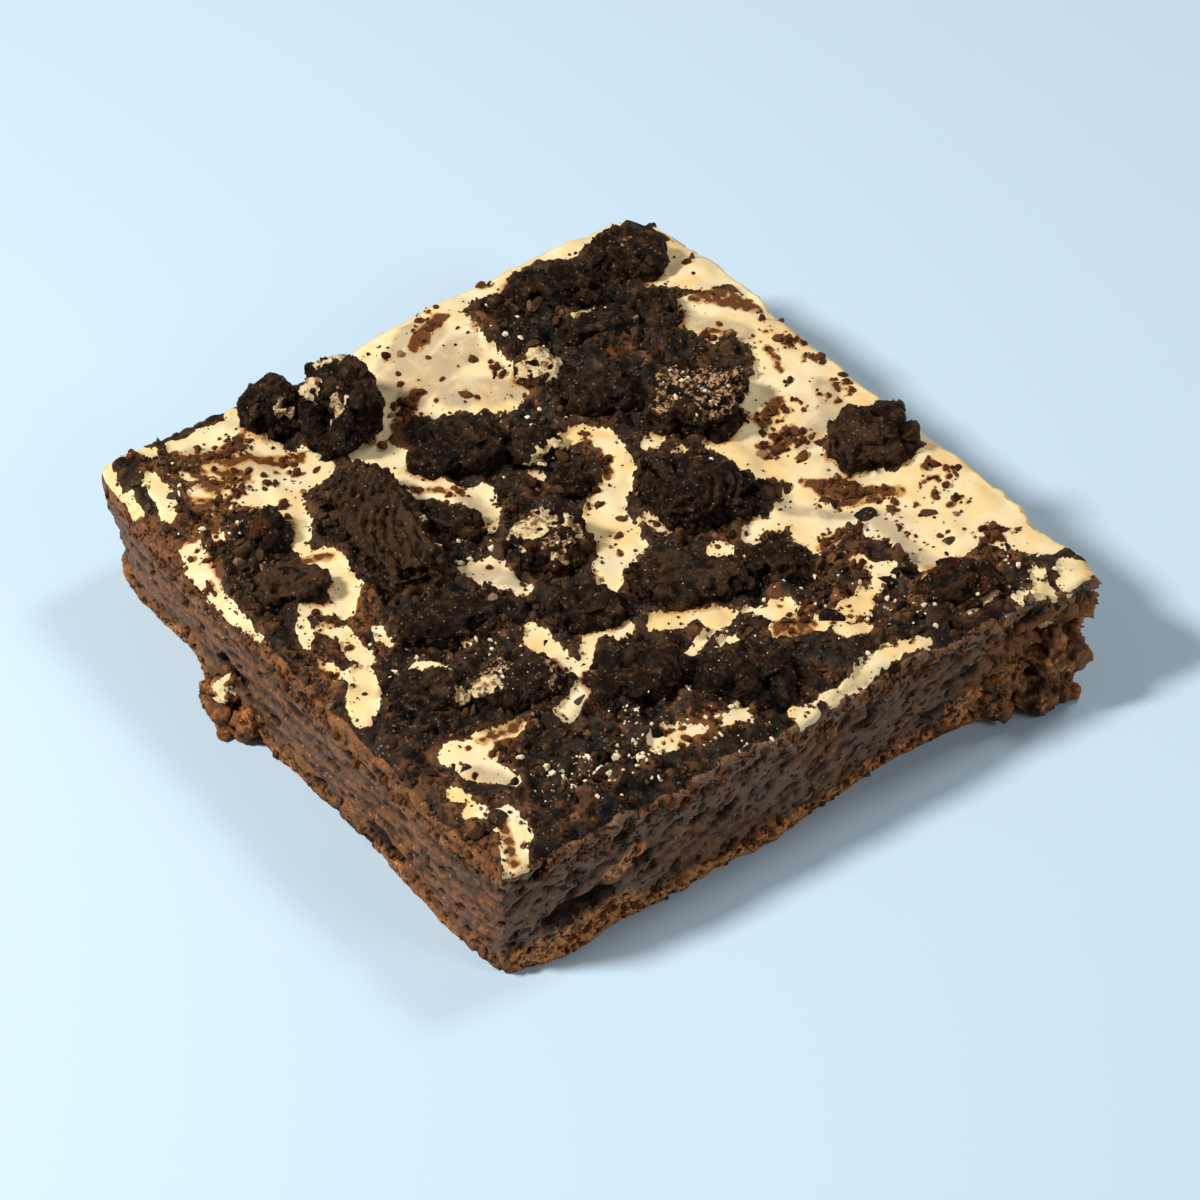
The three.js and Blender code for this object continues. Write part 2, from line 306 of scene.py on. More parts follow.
# Beds of crumb on the cream: middle, half widths and how many large crumbs each has
CRUMB_BEDS = [
    (-25, -31, 16, 11, 14),
    (8, -33, 20, 8, 11),
    (30, -30, 10, 10, 7),
    (-36, 28, 6, 13, 6),
    (17, 29, 12, 11, 5),
    (-18, -7, 11, 12, 5),
]

# Crumbly lumps that the knife left hanging on the base: place and radius
LUMPS = [
    (42.9, -41.4, 10.6, 3.7),
    (40.4, -43.2, 7.9, 3.7),
    (37.3, -44.4, 3.2, 3.3),
    (33.6, -44.4, 2.2, 2.7),
    (29.8, -43.0, 2.0, 2.3),
    (35.6, -43.0, 8.6, 4.0),
    (30.8, -42.8, 6.6, 3.0),
    (-45.4, 14.4, 1.7, 1.9),
    (-46.0, 11.0, 1.5, 2.1),
    (-44.9, 8.0, 1.6, 1.8),
    (-44.3, 12.4, 3.9, 1.9),
]

# Where the cut faces stand out of or fall behind the flat cut: a place, its reach and the push
BULGES = [
    (-44, 41, 3, 11, -1.7),
    (-44, 27, 0, 13, -1.7),
    (-44, -18, 0, 17, -0.8),
    (16, -44, 0, 22, -1.9),
    (-36, -44, 0, 10, 0.4),
    (44, -44, 15, 9, 2.9),
    (44, 44, 16, 9, -1.2),
]

# %% The solids' surfaces, for arrays of places


def wander(x, y, length):
    """A smooth uneven wave of about -1 to 1."""
    k = 2 * math.pi / length
    return (
        0.5 * np.sin(k * (x + 0.4 * y) + 0.7)
        + 0.3 * np.sin(k * 1.7 * (y - 0.3 * x) + 2.1)
        + 0.2 * np.sin(k * 2.9 * (x + y) + 4.4)
    )


def seam_height(x, y):
    """The seam between the base and the cream."""
    return BASE_HEIGHT + SEAM_WAVE * wander(x, y, 46)


def cream_height(x, y):
    """The cream's surface, before its fine relief."""
    z = CREAM_TOP + CREAM_RIPPLE * wander(x + 9, y - 4, 21)
    for at_x, at_y, half_x, half_y, turn, height in SWELLS:
        angle = math.radians(turn)
        dx, dy = x - at_x, y - at_y
        u = (dx * math.cos(angle) + dy * math.sin(angle)) / half_x
        v = (dy * math.cos(angle) - dx * math.sin(angle)) / half_y
        z = z + height * np.exp(-(u * u + v * v))
    return z


def face_relief(x, y, z):
    """How far a point of a cut face lies outside the flat cut."""
    out = FACE_RIPPLE * wander(x + y, 2.5 * z + x - y, 19)
    for at_x, at_y, at_z, reach, push in BULGES:
        near = np.sqrt((x - at_x) ** 2 + (y - at_y) ** 2 + (z - at_z) ** 2) / reach
        out = out + push * np.clip(1 - near * near, 0, None) ** 2
    return out


def outline(u, v):
    """The square's outline, from a grid that runs from -1 to 1 both ways."""
    return HALF * u * (1 - CORNER_PULL * v**8), HALF * v * (1 - CORNER_PULL * u**8)


print("cream from", round(float(cream_height(np.array([-20.0]), np.array([30.0]))[0]), 1), "to",
      round(float(cream_height(np.array([7.0]), np.array([38.0]))[0]), 1), "mm high")

# %% [markdown]
# Crumbly relief needs noise that can be worked out for many thousand places at once. Both kinds
# start from a random number for each cell of a grid: one blends slopes across the cell, and the
# other measures how far the nearest of the cells' scattered middles is, which makes round grains.

# %% Noise for arrays of places


def chance(cell, seed):
    """A repeatable random number from 0 to 1 for each whole-numbered cell."""
    c = cell.astype(np.uint32)
    h = c[:, 0] * np.uint32(374761393) + c[:, 1] * np.uint32(668265263)
    h = h + c[:, 2] * np.uint32(2246822519) + np.uint32(seed * 3266489917 % 2**32)
    h = (h ^ (h >> np.uint32(15))) * np.uint32(2654435761)
    h = (h ^ (h >> np.uint32(13))) * np.uint32(1274126177)
    return (h ^ (h >> np.uint32(16))) / 2.0**32


def noise(place, size, seed=0):
    """Smooth noise of about -1 to 1, whose waves are about that size."""
    cell = np.floor(place / size).astype(np.int64)
    inside = place / size - cell
    blend = inside**3 * (inside * (6 * inside - 15) + 10)
    total = np.zeros(len(place))
    for corner in np.ndindex(2, 2, 2):
        at = cell + corner
        slope = np.stack([chance(at, seed + axis) for axis in (0, 101, 202)], 1) * 2 - 1
        weight = np.where(corner, blend, 1 - blend).prod(axis=1)
        total += weight * (slope * (inside - corner)).sum(axis=1)
    return 1.7 * total


def rough(place, size, octaves, seed=0):
    """Noise with finer and finer noise on it, each half as high."""
    return sum(0.5**i * noise(place, size / 2**i, seed + 7 * i) for i in range(octaves))


def nearest_grain(place, size, seed):
    """The cell whose scattered middle is nearest, and the way from that middle, in grain sizes."""
    cell = np.floor(place / size).astype(np.int64)
    inside = place / size - cell
    least = np.full(len(place), 9.0)
    found, way = cell.copy(), inside.copy()
    for corner in np.ndindex(3, 3, 3):
        at = cell + corner - 1
        middle = np.stack([chance(at, seed + axis) for axis in (3, 104, 205)], 1)
        offset = inside - (np.array(corner) - 1 + middle)
        away = (offset**2).sum(axis=1)
        closer = away < least
        least = np.where(closer, away, least)
        found = np.where(closer[:, None], at, found)
        way = np.where(closer[:, None], offset, way)
    return found, way


def grains(place, size, seed=0):
    """How far the nearest grain's middle is, in grain sizes, and that grain's random number."""
    found, way = nearest_grain(place, size, seed)
    return np.sqrt((way**2).sum(axis=1)), chance(found, seed + 306)


def plates(place, size, seed=0):
    """How far out small flat plates stand that are tilted at random, in plate sizes."""
    found, way = nearest_grain(place, size, seed)
    tilt = np.stack([chance(found, seed + axis) for axis in (407, 508, 609)], 1) * 2 - 1
    return (way * tilt).sum(axis=1) + 0.6 * (chance(found, seed + 710) - 0.5)


def ease(value, low, high):
    """Rises smoothly from 0 at low to 1 at high."""
    t = np.clip((value - low) / (high - low), 0, 1)
    return t * t * (3 - 2 * t)


# %% [markdown]
# A mesh is made from arrays: its vertices in millimetres, its faces, and its marks. Every piece
# rides on the one body and has its material in a slot of its mesh.

# %% A piece from arrays


def piece(name, vertices, faces, material, marks, smooth=True):
    mesh = bpy.data.meshes.new(name)
    mesh.from_pydata((vertices * MM).tolist(), [], faces)
    return dressed(name, mesh, material, marks, smooth)


def dressed(name, mesh, material, marks, smooth=True):
    """Gives a mesh its marks and its material, and makes it a piece that rides on the body."""
    for mark, values in marks.items():
        mesh.attributes.new(mark, "FLOAT", "POINT").data.foreach_set("value", values.astype(np.float32))
    low, high = np.array(solids_box)
    places = np.empty(len(mesh.vertices) * 3)
    mesh.vertices.foreach_get("co", places)
    mesh.vertices.foreach_set("co", np.clip(places.reshape(-1, 3), low, high).ravel())
    mesh.polygons.foreach_set("use_smooth", np.full(len(mesh.polygons), smooth))
    mesh.materials.clear()
    mesh.materials.append(material)
    mesh.update()
    thing = bpy.data.objects.new(name, mesh)
    bpy.context.scene.collection.objects.link(thing)
    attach(thing, BODY)
    triangles = sum(len(p.vertices) - 2 for p in mesh.polygons)
    print(f"{name}: {triangles} triangles")
    return thing


# %% [markdown]
# Where the cream shows between the crumbs is what gives this brownie its face, so it is laid out
# as a baker would drag it with a knife: each stroke runs from one place to another and
# is as wide as a radius at either end. Everything that no stroke reaches is covered by crumb.

# %% Strokes of cream, each from a place and radius to a place and radius
CREAM_STROKES = [
    # the left corner
    (-43.6, 38.5, 0.8, -42.8, 42.6, 1.1),
    (-42.4, 43.0, 0.9, -37.4, 43.2, 0.7),
    (-43.4, 42.6, 0.9, -43.9, 36.0, 0.8),
    (-38.6, 43.0, 0.8, -36.6, 41.4, 0.9),
    (-39.0, 36.4, 0.8, -39.3, 33.0, 1.2),
    (-39.4, 33.0, 1.2, -40.8, 30.0, 0.7),
    (-43.0, 35.6, 0.5, -43.2, 34.0, 0.5),
    (-32.5, 40.6, 1.4, -24.0, 40.6, 1.4),
    (-33.0, 37.8, 1.6, -24.0, 37.6, 1.8),
    (-34.0, 34.8, 1.4, -31.0, 34.4, 1.4),
    (-31.0, 33.8, 1.4, -23.0, 33.6, 1.6),
    (-23.3, 42.5, 0.9, -23.0, 34.0, 1.0),
    # the field behind the long wafer
    (-35.0, 30.8, 1.6, -21.0, 30.2, 1.9),
    (-34.5, 28.2, 0.9, -30.0, 28.0, 1.2),
    (-29.0, 27.0, 1.8, -20.5, 27.2, 1.6),
    (-28.4, 24.6, 1.7, -26.4, 24.2, 1.4),
    (-27.8, 23.8, 1.9, -28.6, 20.4, 2.0),
    (-28.8, 20.6, 1.8, -29.4, 18.2, 1.5),
    (-30.4, 17.4, 0.8, -30.6, 16.0, 0.7),
    # the left edge
    (-41.4, 24.2, 1.2, -42.2, 21.0, 1.5),
    (-42.2, 21.0, 1.5, -43.6, 15.0, 1.0),
    (-43.6, 15.0, 1.0, -44.0, 7.0, 1.0),
    (-36.8, 26.2, 0.4, -38.0, 22.6, 0.4),
    # round the smooth dark piece and the swirl in front of it
    (-30.8, 13.4, 1.2, -29.6, 12.6, 1.8),
    (-29.7, 12.4, 1.8, -29.3, 9.4, 1.5),
    (-29.8, 9.0, 1.4, -30.8, 6.6, 1.9),
    (-31.0, 6.4, 1.9, -32.4, 3.8, 1.1),
    (-36.8, 5.4, 0.8, -33.6, 5.0, 0.9),
    (-38.0, 4.0, 0.6, -39.4, 1.6, 0.5),
    (-36.2, 2.4, 0.8, -34.6, 0.6, 0.9),
    (-35.2, 0.6, 1.0, -35.5, -5.0, 1.0),
    (-37.2, -7.0, 1.1, -38.4, -9.4, 1.8),
    (-38.4, -9.2, 1.8, -40.6, -11.8, 1.7),
    (-40.8, -12.0, 1.3, -41.8, -13.4, 0.8),
    (-40.2, -3.6, 0.8, -39.4, -6.8, 0.9),
    (-31.3, -1.8, 0.6, -32.0, -4.4, 0.5),
    (-31.0, -9.6, 0.4, -29.4, -10.6, 0.4),
    (-29.4, -10.6, 0.4, -29.2, -12.2, 0.3),
    (-24.5, -8.6, 0.4, -24.7, -10.4, 0.3),
    # between the tall piece and the mound
    (-14.4, 26.6, 1.8, -11.0, 28.6, 2.2),
    (-14.0, 24.4, 2.8, -13.6, 22.2, 3.0),
    (-13.8, 21.4, 2.6, -13.8, 20.0, 2.2),
    (-10.8, 28.4, 2.2, -5.0, 30.4, 2.8),
    # the mound
    (-3.5, 31.0, 4.6, 1.0, 28.8, 4.4),
    (-1.0, 35.0, 5.5, 4.4, 29.0, 4.4),
    (-4.6, 38.0, 3.0, 1.0, 36.0, 5.0),
    (3.0, 40.0, 4.5, 8.0, 41.0, 2.8),
    (3.6, 33.0, 4.6, 4.0, 37.0, 4.8),
    (8.0, 41.8, 1.7, 16.6, 41.6, 1.4),
    (-5.6, 42.8, 1.4, 18.0, 43.6, 0.9),
    (1.0, 25.4, 1.6, 5.4, 25.2, 2.0),
    (3.2, 23.6, 1.1, 5.2, 22.2, 1.0),
    (6.0, 26.0, 1.6, 7.0, 23.0, 1.0),
    # in front of the round dark piece
    (-13.2, 17.4, 1.2, -12.4, 15.2, 2.0),
    (-12.2, 15.0, 1.9, -10.6, 12.4, 1.3),
    (-10.4, 11.8, 1.0, -7.0, 10.8, 0.9),
    (-8.8, 9.8, 1.8, -9.2, 7.6, 1.8),
    (-9.4, 7.4, 1.6, -10.2, 5.4, 1.0),
    (-17.0, 0.4, 0.9, -13.8, -0.4, 1.2),
    (-15.2, -0.8, 1.7, -14.4, -3.4, 1.3),
    (-14.2, -3.6, 1.1, -13.6, -5.8, 1.1),
    # the back corner
    (26.0, 42.6, 1.6, 31.0, 42.6, 1.8),
    (30.0, 42.8, 1.6, 36.0, 43.4, 1.6),
    (18.0, 43.4, 0.7, 26.0, 43.8, 0.8),
    # the field at the right, from the back edge down to the lone piece
    (43.3, 40.0, 0.9, 43.4, 19.0, 1.1),
    (38.5, 34.8, 1.4, 42.0, 35.0, 1.7),
    (35.0, 32.6, 1.5, 42.0, 32.4, 2.2),
    (33.6, 31.4, 0.9, 36.0, 30.8, 1.0),
    (37.6, 29.4, 2.2, 42.0, 29.0, 2.4),
    (38.8, 27.0, 1.8, 42.0, 27.0, 2.0),
    (34.4, 24.4, 1.7, 38.0, 22.0, 2.3),
    (38.0, 21.8, 2.3, 40.6, 19.0, 2.6),
    (32.6, 21.6, 1.3, 34.6, 20.6, 2.2),
    (34.4, 18.6, 2.2, 38.0, 18.0, 2.8),
    (40.6, 17.6, 2.8, 41.4, 14.0, 2.8),
    (37.4, 15.2, 2.2, 40.0, 14.6, 2.6),
    (38.8, 12.4, 2.6, 38.2, 8.8, 3.4),
    (41.8, 13.0, 2.2, 42.2, 6.0, 2.2),
    (36.0, 8.2, 2.4, 39.0, 6.0, 3.2),
    (32.6, 6.0, 2.2, 36.0, 3.0, 3.2),
    (28.8, 4.0, 2.0, 33.0, 1.0, 3.2),
    (24.4, 1.4, 1.8, 28.0, 0.0, 2.8),
    (38.4, 3.0, 3.2, 40.0, -1.0, 2.8),
    (42.4, 4.0, 2.0, 43.4, -3.0, 1.6),
    (21.0, 1.2, 1.3, 24.0, 1.2, 1.3),
    (24.0, -2.6, 2.8, 31.0, -1.6, 3.4),
    (21.8, -1.0, 1.2, 22.0, -6.6, 1.5),
    (33.6, -3.6, 1.8, 38.0, -2.0, 2.4),
    (39.6, -2.0, 2.2, 43.4, -4.0, 1.2),
    (22.6, -6.4, 1.8, 29.4, -6.4, 2.2),
    (25.4, -8.6, 1.8, 29.0, -9.4, 2.0),
    (27.0, -10.0, 2.2, 23.6, -12.6, 2.0),
    (29.6, -10.4, 1.2, 30.4, -12.8, 1.2),
    (30.6, -13.0, 1.4, 34.2, -18.0, 1.3),
    (27.0, -12.0, 2.0, 30.4, -17.6, 2.4),
    # the field in front of the ridged piece
    (9.2, -14.2, 0.7, 10.4, -15.4, 0.7),
    (13.8, -15.0, 0.8, 16.4, -13.8, 1.0),
    (17.4, -15.2, 1.2, 21.0, -14.2, 1.9),
    (21.0, -15.0, 2.5, 22.8, -17.4, 2.7),
    (19.8, -18.8, 1.7, 26.0, -19.0, 2.0),
    (20.0, -20.8, 1.2, 23.0, -20.8, 1.1),
    (26.6, -19.6, 1.6, 32.0, -20.2, 1.5),
    # round and below the lone piece
    (43.4, -10.0, 1.0, 43.6, -17.0, 1.4),
    (35.6, -18.6, 1.6, 43.0, -17.6, 1.8),
    (33.6, -21.6, 2.1, 42.0, -21.6, 2.7),
    (32.0, -24.6, 2.4, 42.4, -25.6, 2.8),
    (31.8, -28.0, 2.4, 42.0, -29.0, 2.8),
    (30.2, -31.4, 2.1, 33.8, -31.6, 1.8),
    (36.0, -31.6, 2.3, 42.6, -32.6, 2.0),
    (38.6, -34.6, 1.6, 43.0, -35.4, 1.5),
    (40.6, -37.0, 1.4, 43.2, -36.8, 1.3),
    (28.2, -20.6, 1.0, 28.0, -26.0, 1.2),
    (28.0, -26.0, 1.2, 27.8, -32.0, 1.2),
    (26.4, -22.8, 0.7, 26.2, -24.6, 0.7),
    # the ring round the small piece in the middle, and its bits of white
    (-0.2, 9.2, 0.7, 0.2, 11.4, 0.8),
    (0.4, 11.6, 0.8, 8.8, 12.8, 1.0),
    (8.8, 12.4, 1.3, 10.8, 10.6, 1.3),
    (10.6, 10.4, 1.4, 10.2, 7.4, 1.3),
    (10.0, 7.4, 1.4, 8.6, 4.0, 1.7),
    (8.4, 4.0, 1.7, 6.4, 1.8, 1.7),
    (14.6, 6.0, 0.8, 17.6, 6.6, 0.8),
    (16.2, 2.0, 0.6, 17.0, 2.8, 0.4),
    # the valley in front of it
    (5.4, 1.8, 1.8, 2.4, -1.0, 2.4),
    (2.4, -1.0, 2.5, 1.4, -4.0, 2.7),
    (1.2, -4.0, 2.7, 0.6, -7.4, 2.5),
    (0.4, -7.4, 2.3, -3.6, -10.0, 1.7),
    (-3.6, -10.2, 1.6, -5.2, -12.4, 0.9),
    (5.4, -5.6, 0.9, 6.6, -7.6, 0.9),
    # the crossed streaks and patches of the front bed
    (-16.8, -12.4, 0.5, -17.8, -14.6, 1.0),
    (-17.9, -15.0, 1.4, -17.8, -18.6, 1.4),
    (-17.6, -18.6, 1.2, -17.2, -22.6, 0.9),
    (-17.3, -22.6, 0.8, -17.6, -25.0, 0.6),
    (-7.8, -19.4, 0.7, -9.6, -19.4, 0.6),
    (-9.6, -19.4, 0.5, -12.0, -17.9, 0.7),
    (-12.2, -18.0, 0.8, -14.2, -20.0, 0.6),
    (-14.2, -20.0, 0.6, -16.4, -23.2, 0.4),
    (-18.0, -25.3, 0.9, -22.8, -27.4, 1.0),
    (-4.6, -21.0, 1.1, -1.6, -21.8, 1.3),
    (-1.6, -22.0, 1.1, 0.6, -23.2, 1.1),
    (0.6, -23.8, 1.5, 2.2, -24.6, 1.6),
    (5.6, -26.4, 1.2, 8.2, -28.2, 1.8),
    (6.4, -30.6, 1.3, 8.6, -32.2, 1.4),
    (10.6, -33.0, 1.0, 16.6, -32.6, 1.4),
    (17.0, -32.4, 1.4, 18.4, -31.4, 0.8),
    (12.0, -35.0, 1.1, 14.2, -35.6, 1.1),
    (20.0, -31.2, 0.6, 23.4, -29.6, 0.8),
    (22.0, -29.6, 0.8, 21.6, -26.4, 0.7),
    (25.6, -34.8, 0.8, 26.2, -35.2, 0.7),
    (-4.8, -27.6, 0.4, 0.2, -25.8, 0.4),
    (-0.6, -28.2, 0.7, 0.2, -29.6, 0.6),
    (-36.8, -24.8, 1.5, -34.0, -26.0, 2.1),
    (-34.0, -25.8, 1.6, -28.6, -25.6, 1.1),
    (-36.0, -27.6, 1.8, -34.8, -30.4, 1.3),
    (-34.8, -30.4, 1.3, -33.8, -32.4, 0.6),
    (-40.2, -29.6, 0.7, -39.6, -31.0, 0.5),
    (-40.2, -33.0, 0.7, -39.2, -34.0, 0.5),
    (-37.8, -36.2, 1.3, -38.4, -39.4, 1.5),
    (-38.6, -39.6, 1.5, -40.8, -42.4, 1.1),
    (-41.0, -43.2, 0.6, -43.4, -43.4, 0.5),
    (-16.4, -37.2, 1.4, -14.2, -37.6, 1.4),
    (-13.8, -37.8, 0.7, -11.0, -38.6, 0.4),
    (-8.4, -39.0, 0.5, -6.2, -38.6, 0.7),
    (-6.0, -38.6, 0.8, -6.0, -39.8, 0.5),
    (-2.4, -33.2, 0.5, -2.6, -34.6, 0.6),
    (-0.6, -42.0, 0.6, -0.4, -43.4, 0.5),
    # the front edge at the right, and the right corner
    (18.8, -42.0, 0.7, 14.6, -41.2, 1.1),
    (14.6, -41.2, 1.1, 9.6, -42.0, 0.9),
    (9.4, -42.2, 0.6, 1.0, -43.2, 0.5),
    (27.0, -41.4, 0.4, 31.4, -40.4, 0.4),
    (39.8, -43.0, 0.9, 42.8, -42.4, 1.6),
    (41.6, -40.6, 0.5, 40.6, -41.6, 0.6),
    (33.0, -42.8, 0.6, 34.2, -42.4, 0.4),
    (35.6, -43.2, 0.5, 37.2, -42.2, 0.7),
    (37.6, -40.4, 0.5, 37.0, -41.4, 0.4),
]

# Where crumb has bled brown into the cream, and where syrup has run over it
BROWN_STROKES = [
    (1.2, 37.4, 1.0, 5.8, 39.4, 1.4),
    (-34.0, 39.4, 0.9, -33.4, 34.6, 0.9),
    (-33.0, 37.0, 1.2, -27.0, 36.8, 0.9),
    (-31.0, 34.0, 0.5, -29.0, 32.6, 0.7),
    (-32.6, 31.6, 0.5, -28.6, 31.0, 0.7),
    (-25.4, 33.2, 0.7, -21.0, 30.8, 0.8),
    (-29.4, 34.8, 0.5, -26.2, 34.0, 0.5),
    (-24.4, 38.4, 0.4, -26.6, 36.2, 0.6),
    (-34.2, 32.8, 0.8, -33.0, 30.6, 0.7),
    (-8.4, 27.6, 0.9, -4.0, 30.8, 0.9),
    (-37.0, 30.4, 0.9, -34.0, 27.8, 1.0),
    (-44.0, 26.4, 1.0, -37.0, 25.4, 1.2),
    (-40.0, 21.6, 0.4, -41.6, 16.0, 0.4),
    (-42.4, -5.0, 0.8, -40.8, -2.0, 0.6),
    (36.4, 24.6, 0.9, 39.2, 22.6, 1.9),
    (39.2, 22.6, 1.9, 41.4, 19.0, 1.1),
    (26.0, -10.6, 0.5, 28.4, -15.2, 2.2),
    (28.4, -15.2, 2.2, 33.6, -19.6, 0.7),
    (25.2, -3.4, 0.5, 31.0, -1.8, 1.1),
    (28.8, 1.8, 1.0, 32.6, 3.4, 1.0),
    (-31.4, -28.4, 1.4, -30.6, -27.6, 1.4),
    (-33.0, -25.2, 0.4, -27.6, -25.0, 0.6),
    (6.2, -30.8, 1.0, 8.8, -32.2, 1.1),
    (20.0, -21.6, 0.6, 23.6, -21.2, 0.6),
    (-32.0, 14.0, 0.5, -29.0, 12.6, 0.5),
    (-13.6, 16.4, 0.3, -9.6, 12.2, 0.4),
    (38.0, 12.6, 0.3, 36.9, 7.8, 0.4),
    (8.2, 8.6, 0.6, 7.2, 4.6, 0.7),
    (-38.0, -36.0, 0.3, -40.6, -42.0, 0.4),
    (33.4, 18.6, 0.5, 35.6, 17.0, 0.5),
]

# Thin grey films of crumb and cream
GREY_STROKES = [
    (-31.6, 37.4, 2.2, -27.0, 33.6, 2.2),
    (-3.4, 35.6, 2.6, 3.0, 39.0, 3.0),
    (-4.0, 31.0, 1.6, 5.0, 33.0, 2.2),
    (0.0, 28.0, 1.6, 5.0, 25.0, 1.8),
    (36.0, -4.0, 1.2, 40.0, 2.0, 1.4),
    (33.0, 22.0, 1.0, 37.0, 16.0, 1.2),
    (3.0, 27.0, 1.0, 7.0, 22.6, 0.9),
    (28.2, -20.4, 0.9, 27.8, -32.6, 1.0),
    (-9.4, 10.5, 1.0, -9.8, 5.6, 1.2),
    (-16.6, 0.0, 1.0, -13.4, -4.0, 1.0),
    (21.0, -14.0, 0.8, 26.0, -18.6, 0.8),
    (31.0, -4.6, 0.9, 37.6, -2.0, 1.0),
    (-36.0, -29.0, 0.9, -34.0, -32.0, 0.6),
    (36.4, 18.0, 0.2, 35.4, 14.4, 0.2),
    (-20.0, -27.6, 0.6, -22.6, -29.0, 0.6),
]


def outside(strokes, x, y):
    """How far each place lies outside the nearest stroke, in millimetres; inside is negative."""
    nearest = np.full(len(x), 99.0)
    for x1, y1, r1, x2, y2, r2 in strokes:
        dx, dy = x2 - x1, y2 - y1
        t = np.clip(((x - x1) * dx + (y - y1) * dy) / (dx * dx + dy * dy), 0, 1)
        away = np.hypot(x - x1 - t * dx, y - y1 - t * dy)
        nearest = np.minimum(nearest, away - r1 - t * (r2 - r1))
    return nearest


print(len(CREAM_STROKES), "strokes of cream")

# %% [markdown]
# The broken biscuit comes next, because the cream climbs a little at its sides and is stained
# there. Each piece is a copy of its solid, cut anew into even small faces and then broken: tilted
# plates make its flat facets and sharp steps, and grains and pits make the crumb of its faces.

# %% Finish of the biscuit
DARK_BISCUIT = (0.006, 0.0038, 0.0024)
BROWN_BISCUIT = (0.066, 0.037, 0.019)
TAN_BISCUIT = (0.30, 0.175, 0.10)
RUST_BISCUIT = (0.15, 0.045, 0.010)
PALE_CREAM = (0.86, 0.72, 0.42)
GLINT = (0.75, 0.68, 0.56)
PINK_CREAM = (0.70, 0.42, 0.23)


def biscuit_look(finish, tone):
    """Colour, roughness and height of the biscuit; tone makes a place lighter."""
    patchy = (finish.noise(1.4, 5.0, 0.65) + tone).over(0.40, 0.80)
    colour = patchy.mix(DARK_BISCUIT, BROWN_BISCUIT)
    granule = finish.chance(0.45).over(0.6, 1.0) * (1 - finish.cells(0.45).over(0.2, 0.5))
    colour = (0.55 * granule * finish.noise(2.2, 2.0).over(0.42, 0.62)).mix(colour, TAN_BISCUIT)
    colour = (0.8 * finish.specks(0.38, 0.06)).mix(colour, TAN_BISCUIT)
    colour = (0.9 * finish.specks(0.33, 0.008)).mix(colour, GLINT)
    height = finish.noise(0.3, 4.0, 0.7) + 0.8 * (1 - finish.cells(0.6))
    roughness = 0.32 + 0.45 * finish.noise(0.7, 2.0)
    return colour, roughness, height


biscuit = Finish("broken_biscuit")
colour, roughness, height = biscuit_look(biscuit, 0.25 * biscuit.mark("tone"))
colour = (0.8 * biscuit.mark("rust") * biscuit.noise(0.8, 3.0).over(0.35, 0.6)).mix(colour, RUST_BISCUIT)
dusted = (biscuit.noise(0.75, 5.0, 0.75) + 0.20 * biscuit.mark("speckled")).over(0.70, 0.76)
colour = (0.85 * dusted * biscuit.mark("speckled").over(0.1, 0.5)).mix(colour, PINK_CREAM)
smeared = (biscuit.mark("pale") + 0.6 * (biscuit.noise(0.45, 3.0) - 0.5)).over(0.40, 0.52)
mottled = biscuit.noise(1.3, 5.0, 0.7).over(0.50, 0.58)
creamy = (0.5 * biscuit.noise(2.2, 2.0).over(0.45, 0.65)).mix(PALE_CREAM, PINK_CREAM)
creamy = (0.85 * mottled).mix(creamy, RUST_BISCUIT)
colour = smeared.mix(colour, creamy)
biscuit_material = biscuit.set(
    Base_Color=colour,
    Roughness=roughness,
    Normal=biscuit.bump(height, 0.36),
    Specular_IOR_Level=0.10,
)

# %% Where the pieces are ridged, smeared and speckled
CHUNK_CELL = 0.28
RIDGE_HEIGHT = 0.37

# Faces with plain fine ridges: the middle of the rings and how far apart they are
RIDGED = {
    "biscuit_piece_04": (-10.5, 2.0, 1.2),
    "biscuit_piece_16": (9.6, -5.6, 1.3),
}

# Which pieces have flat tops, are lighter than the rest (their own tone, with painted sheen on their
# tops), or are redder
FLAT = ("biscuit_piece_04", "biscuit_piece_17", "biscuit_piece_26", "biscuit_piece_22")
LIGHTER_AND_SHEEN = {
    "biscuit_piece_04": 0.75,
    "biscuit_piece_17": 0.35,
    "biscuit_piece_18": 0.4,
    "biscuit_piece_26": 0.7,
}

# Cream and pale crumb smeared on the pieces, as strokes seen from above
SMEARS = [
    (-9.6, 1.6, 1.8, -8.6, -1.4, 2.0),
    (-7.4, 1.2, 1.6, -6.4, -1.8, 1.3),
    (-6.8, -5.2, 0.6, -7.0, -5.8, 0.6),
    (-8.4, -6.2, 0.5, -8.6, -6.8, 0.4),
    (-5.0, -3.0, 0.5, -4.4, -4.6, 0.3),
    (-20.0, 35.0, 1.5, -18.4, 32.6, 1.4),
    (-16.2, 35.8, 0.8, -12.0, 35.0, 0.7),
    (-21.0, 35.0, 0.5, -20.4, 34.2, 0.4),
    (-16.4, 28.8, 0.5, -16.2, 28.0, 0.4),
    (12.6, 26.6, 1.6, 12.2, 22.6, 1.3),
    (8.8, 27.0, 1.0, 11.2, 25.6, 1.0),
    (8.2, 24.8, 0.9, 10.2, 23.0, 0.9),
    (-1.2, 10.0, 0.6, 3.0, 11.3, 0.7),
    (3.0, 11.3, 0.7, 7.6, 11.6, 0.8),
    (-31.0, -18.2, 0.8, -27.6, -20.4, 1.0),
    (-17.6, 8.6, 0.3, -17.4, 8.0, 0.3),
    (-18.6, 3.8, 0.4, -18.0, 3.0, 0.3),
    (23.6, 29.6, 0.4, 20.2, 29.0, 0.5),
]

